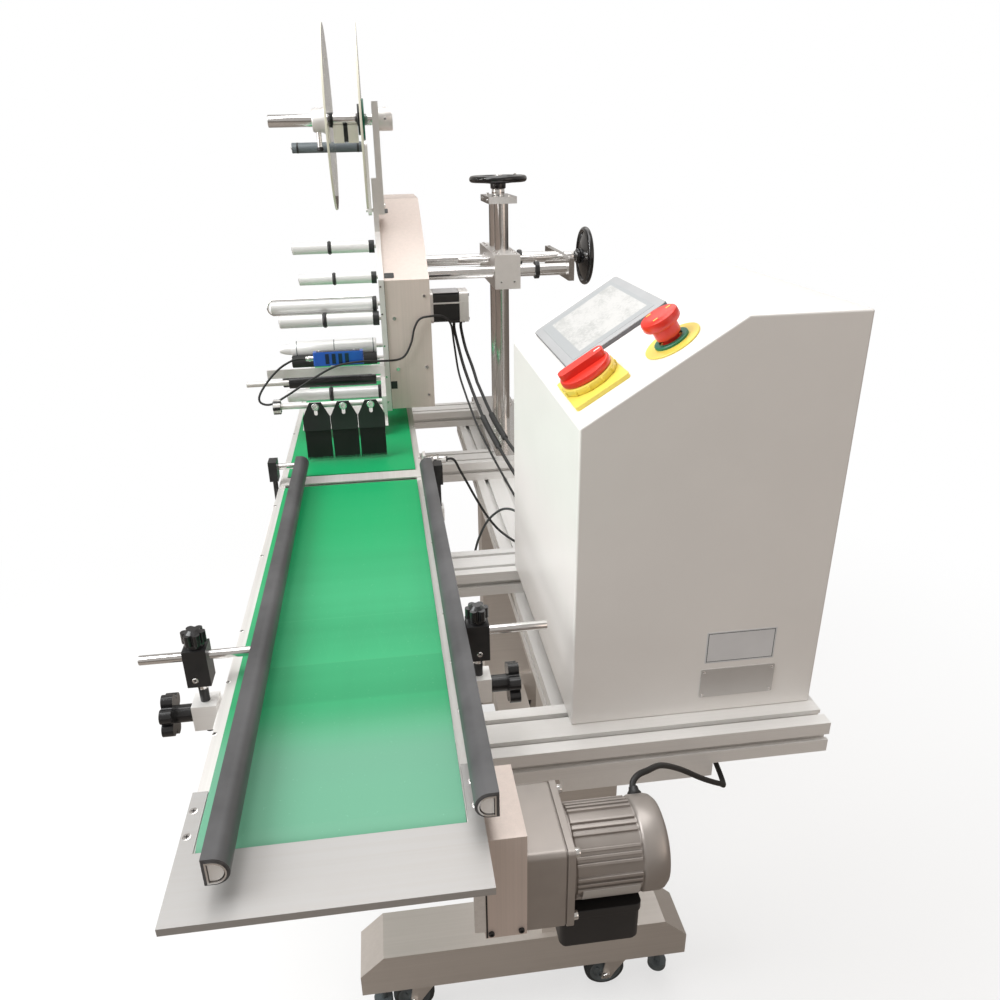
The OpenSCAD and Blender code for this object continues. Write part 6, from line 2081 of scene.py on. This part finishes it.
@dataclass
class Casters(Assembly):
    """Dark treads on grey hubs with grey studs, and the fork's axle nuts."""

    count: int = 4
    radius: float = 37.5
    studs: int = 5
    stud_ring: float = 16.5

    def build(self) -> None:
        """Makes the wheels."""
        for number in range(1, self.count + 1):
            self.wheel(number)

    def wheel(self, number: int) -> None:
        """Makes one wheel and its axle nuts.

        Args:
            number: Which caster.
        """
        x, y, z = centre = middle_of(f"caster_wheel_{number}")
        r = self.radius
        solid = Solid()
        half_tread = [(r - 9, -11), (r - 4, -11.2), (r - 1.2, -8.5), (r - 0.1, -4)]
        solid.lathe(mirrored(half_tread), centre, Axis.Y, 0, 72, closed=True)
        half_hub = [(4.1, -15.5), (9, -15.5), (9.5, -13), (12, -11), (22, -8), (26, -11), (r - 8.5, -11.5)]
        solid.lathe(mirrored(half_hub), centre, Axis.Y, 1, 64, closed=True)
        for k in range(self.studs):
            a = 2 * math.pi * k / self.studs + math.radians(10)
            stud = (x + self.stud_ring * math.cos(a), y, z + self.stud_ring * math.sin(a))
            for low, high in ((-12.5, -7.5), (7.5, 12.5)):
                solid.disc(stud, 2.6, low, high, Axis.Y, 1, 0.6, 16)
        solid.piece(
            f"caster_wheel_tread_{number}", f"wheel_{number}", TYRE, HUB, replaces=[f"caster_wheel_{number}"])
        nuts = Solid()
        nut = [(7.5, 19.2), (7.5, 22.5), (6.5, 24), (4, 24.4)]
        for way in (-1, 1):
            nuts.lathe([(radius, way * out) for radius, out in nut], centre, Axis.Y, 0, 6)
        nuts.piece(f"caster_axle_nuts_{number}", f"fork_{number}", CHROME)


# Leads


@dataclass
class Lead:
    """A flexible lead along a route, on one body, or on none when it runs between two."""

    name: str
    route: Points
    diameter: float
    bodies: Sequence[str]
    bend: Optional[tuple] = None
    finish: Finish = RUBBER
    replaces: Sequence[str] = ()
    sleeve: Optional[Span] = None
    sleeve_grow: float = 2.4
    sleeve_ridge: float = 0.10
    steps: int = 160

    def build(self) -> None:
        path = curve(self.route, self.steps)
        radius = np.full(len(path), self.diameter / 2)
        if self.sleeve:
            along = path[:, 1]
            far, near = self.sleeve
            ridge = 1 + self.sleeve_ridge * np.sin(along * 1.3)
            radius += np.where((along < far) & (along > near), self.sleeve_grow * ridge, 0.0)
        solid = Solid().tube(path, radius, 0, 18)
        one = self.bodies[0] if len(self.bodies) == 1 else None
        thing = solid.piece(self.name, one, self.finish, replaces=self.replaces)
        if one is None:
            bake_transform(thing)


@dataclass
class Leads(Assembly):
    """All the leads, with their given routes, and the earth lead's tag."""

    power_diameter: float = 6.0
    signal_diameter: float = 4.0
    motor_sleeve: Span = (968.0, 872.0)
    tag_place: Triple = (206.6, 725.0, 792.0)
    motor_a: Points = (
        (215, 1160, 1127), (215, 1160, 1112), (219, 1142, 1086), (226, 1100, 1048), (236, 1040, 1012),
    )
    motor_b: Points = (
        (229, 1160, 1127), (229, 1160, 1112), (234, 1132, 1078), (243, 1094, 1047), (248, 1062, 1024),
    )
    rest_a: Points = (
        (236, 1040, 1012), (248, 960, 978), (262, 880, 954), (276, 790, 936), (293, 710, 918),
        (304, 670, 904), (305, 657, 900), (305, 644, 900),
    )
    rest_b: Points = (
        (248, 1062, 1024), (262, 970, 988), (274, 880, 970), (294, 790, 952), (322, 710, 932),
        (340, 670, 910), (342, 657, 906), (342, 644, 906),
    )
    label: Points = (
        (-76, 1010, 1100), (-86, 1010, 1100), (-100, 1006, 1099), (-124, 1000, 1087), (-147, 990, 1066),
        (-163, 980, 1044), (-162, 975, 1031), (-143, 972, 1028), (-113, 976, 1042), (-67, 986, 1067),
        (-22, 994, 1087), (22, 996, 1093), (58, 1010, 1089), (91, 1033, 1084), (108, 1033, 1092),
        (121, 1033, 1116), (128, 1033, 1142), (139, 1033, 1159), (158, 1035, 1163), (184, 1056, 1158),
        (202, 1088, 1136), (208, 1100, 1096),
    )
    label_mid: Points = (
        (208, 1100, 1096), (214, 1082, 1040), (224, 1036, 1000),
    )
    label_rest: Points = (
        (224, 1036, 1000), (236, 958, 964), (250, 878, 938), (264, 788, 918), (280, 712, 896),
        (287, 670, 882), (288, 657, 878), (288, 644, 878),
    )
    product: Points = (
        (160, 763, 978), (167, 763, 978), (173, 764, 973), (180, 762, 958), (192, 758, 934),
        (206, 752, 906), (222, 744, 878), (240, 726, 858), (262, 700, 848), (282, 672, 847),
        (290, 656, 850), (290, 644, 850),
    )
    earth: Points = (
        (270, 644, 902), (270, 656, 902), (262, 688, 908), (244, 712, 902), (222, 722, 880),
        (206, 724, 848), (198, 725, 820), (194, 725, 802), (198, 725, 793), (206.5, 725, 792),
    )
    drive: Points = (
        (270, 66.8, 896.7), (270, 73.2, 902.4), (277, 80, 905), (290, 90, 900), (314, 116, 880),
        (348, 148, 842), (384, 168, 806), (412, 182, 782), (422, 194, 772), (430, 250, 768),
        (432, 320, 768), (433, 390, 780), (432, 418, 800), (432, 420, 812), (432, 420, 827.5),
    )

    def build(self) -> None:
        """Makes the leads."""
        to_slide, to_cabinet = ("head", "carriage"), ("carriage", "frame")
        thick, thin = self.power_diameter, self.signal_diameter
        for name, head, rest in (("a", self.motor_a, self.rest_a), ("b", self.motor_b, self.rest_b)):
            Lead(f"motor_lead_{name}_head", head, thick, to_slide, (head[1], head[-1])).build()
            Lead(
                f"motor_lead_{name}_cabinet", rest, thick, to_cabinet, (rest[1], rest[-4]),
                sleeve=self.motor_sleeve).build()
        middle, rest = self.label_mid, self.label_rest
        Lead("label_lead_head", self.label, thin, ("head",), replaces=["head_leads"]).build()
        Lead("label_lead_middle", middle, thin, to_slide, (middle[0], middle[-1])).build()
        Lead("label_lead_cabinet", rest, thin, to_cabinet, (rest[1], rest[-4])).build()
        Lead("product_lead_run", self.product, thin, ("frame",), replaces=["base_leads"]).build()
        Lead("earth_lead_run", self.earth, thin, ("frame",), finish=EARTH).build()
        Lead("drive_lead_run", self.drive, thick, ("frame",)).build()
        self.earth_tag()

    def earth_tag(self) -> None:
        """Bright round tag at the earth lead's end, with its screw."""
        x, y, z = self.tag_place
        tag = Solid().lathe([(7.5, 0), (7.5, 1.2), (3, 1.4)], (0, 0, 0), Axis.Z, 1, 24)
        tag.moved(0, Z_TO_X, self.tag_place)
        screws(tag, [(x - 0.2, y, z - 6.5)], Axis.X, -1, 3.2, 2.0, 1, 0)
        tag.piece("earth_tag", "frame", BLACK, CHROME)


def finish_frame() -> None:
    """Gives every CAD node that stays in view its finish."""
    assign(["base_frame", *(f"caster_fork_{i}" for i in range(1, 5))], STAND_STEEL)
    assign(["cross_rails", "guide_clamps"], RAIL)
    assign(["long_rails"], RAIL_Y)
    assign(["conveyor_side_left", "conveyor_side_right", "slider_bed"], STAINLESS_Y)
    assign(["end_plate"], DARKENED_STAINLESS)
    assign(["chain_guard", "head_cover"], STAINLESS_Z_SHADED)
    assign(["conveyor_belt"], BELT)
    assign(["posts", "cross_arms"], POST)
    assign(["cross_block", "mounting_plate", "peel_plate"], PLATE)
    assign(["left_guide_blocks", "right_guide_blocks", "brush_holder"], BLACK)
    assign(["left_top_knob", "right_top_knob", "left_side_knob", "right_side_knob"], KNOB)
    assign(["drive_belt"], RUBBER)
    assign(["drive_roller", "tail_roller", "motor_pulley"], CHROME)
    assign(["levelling_feet"], HUB)


def main() -> None:
    """Builds the looks and the room."""
    logging.basicConfig(level=logging.INFO, format="%(message)s")
    finish_frame()
    parts: list[Assembly] = [
        Conveyor(), DriveUnit(), Panel(), CrossSlide(), Head(), Reel(), Brushes(), Casters(), Leads(), Room()]
    for part in parts:
        part.build()


if __name__ == "__main__":
    main()
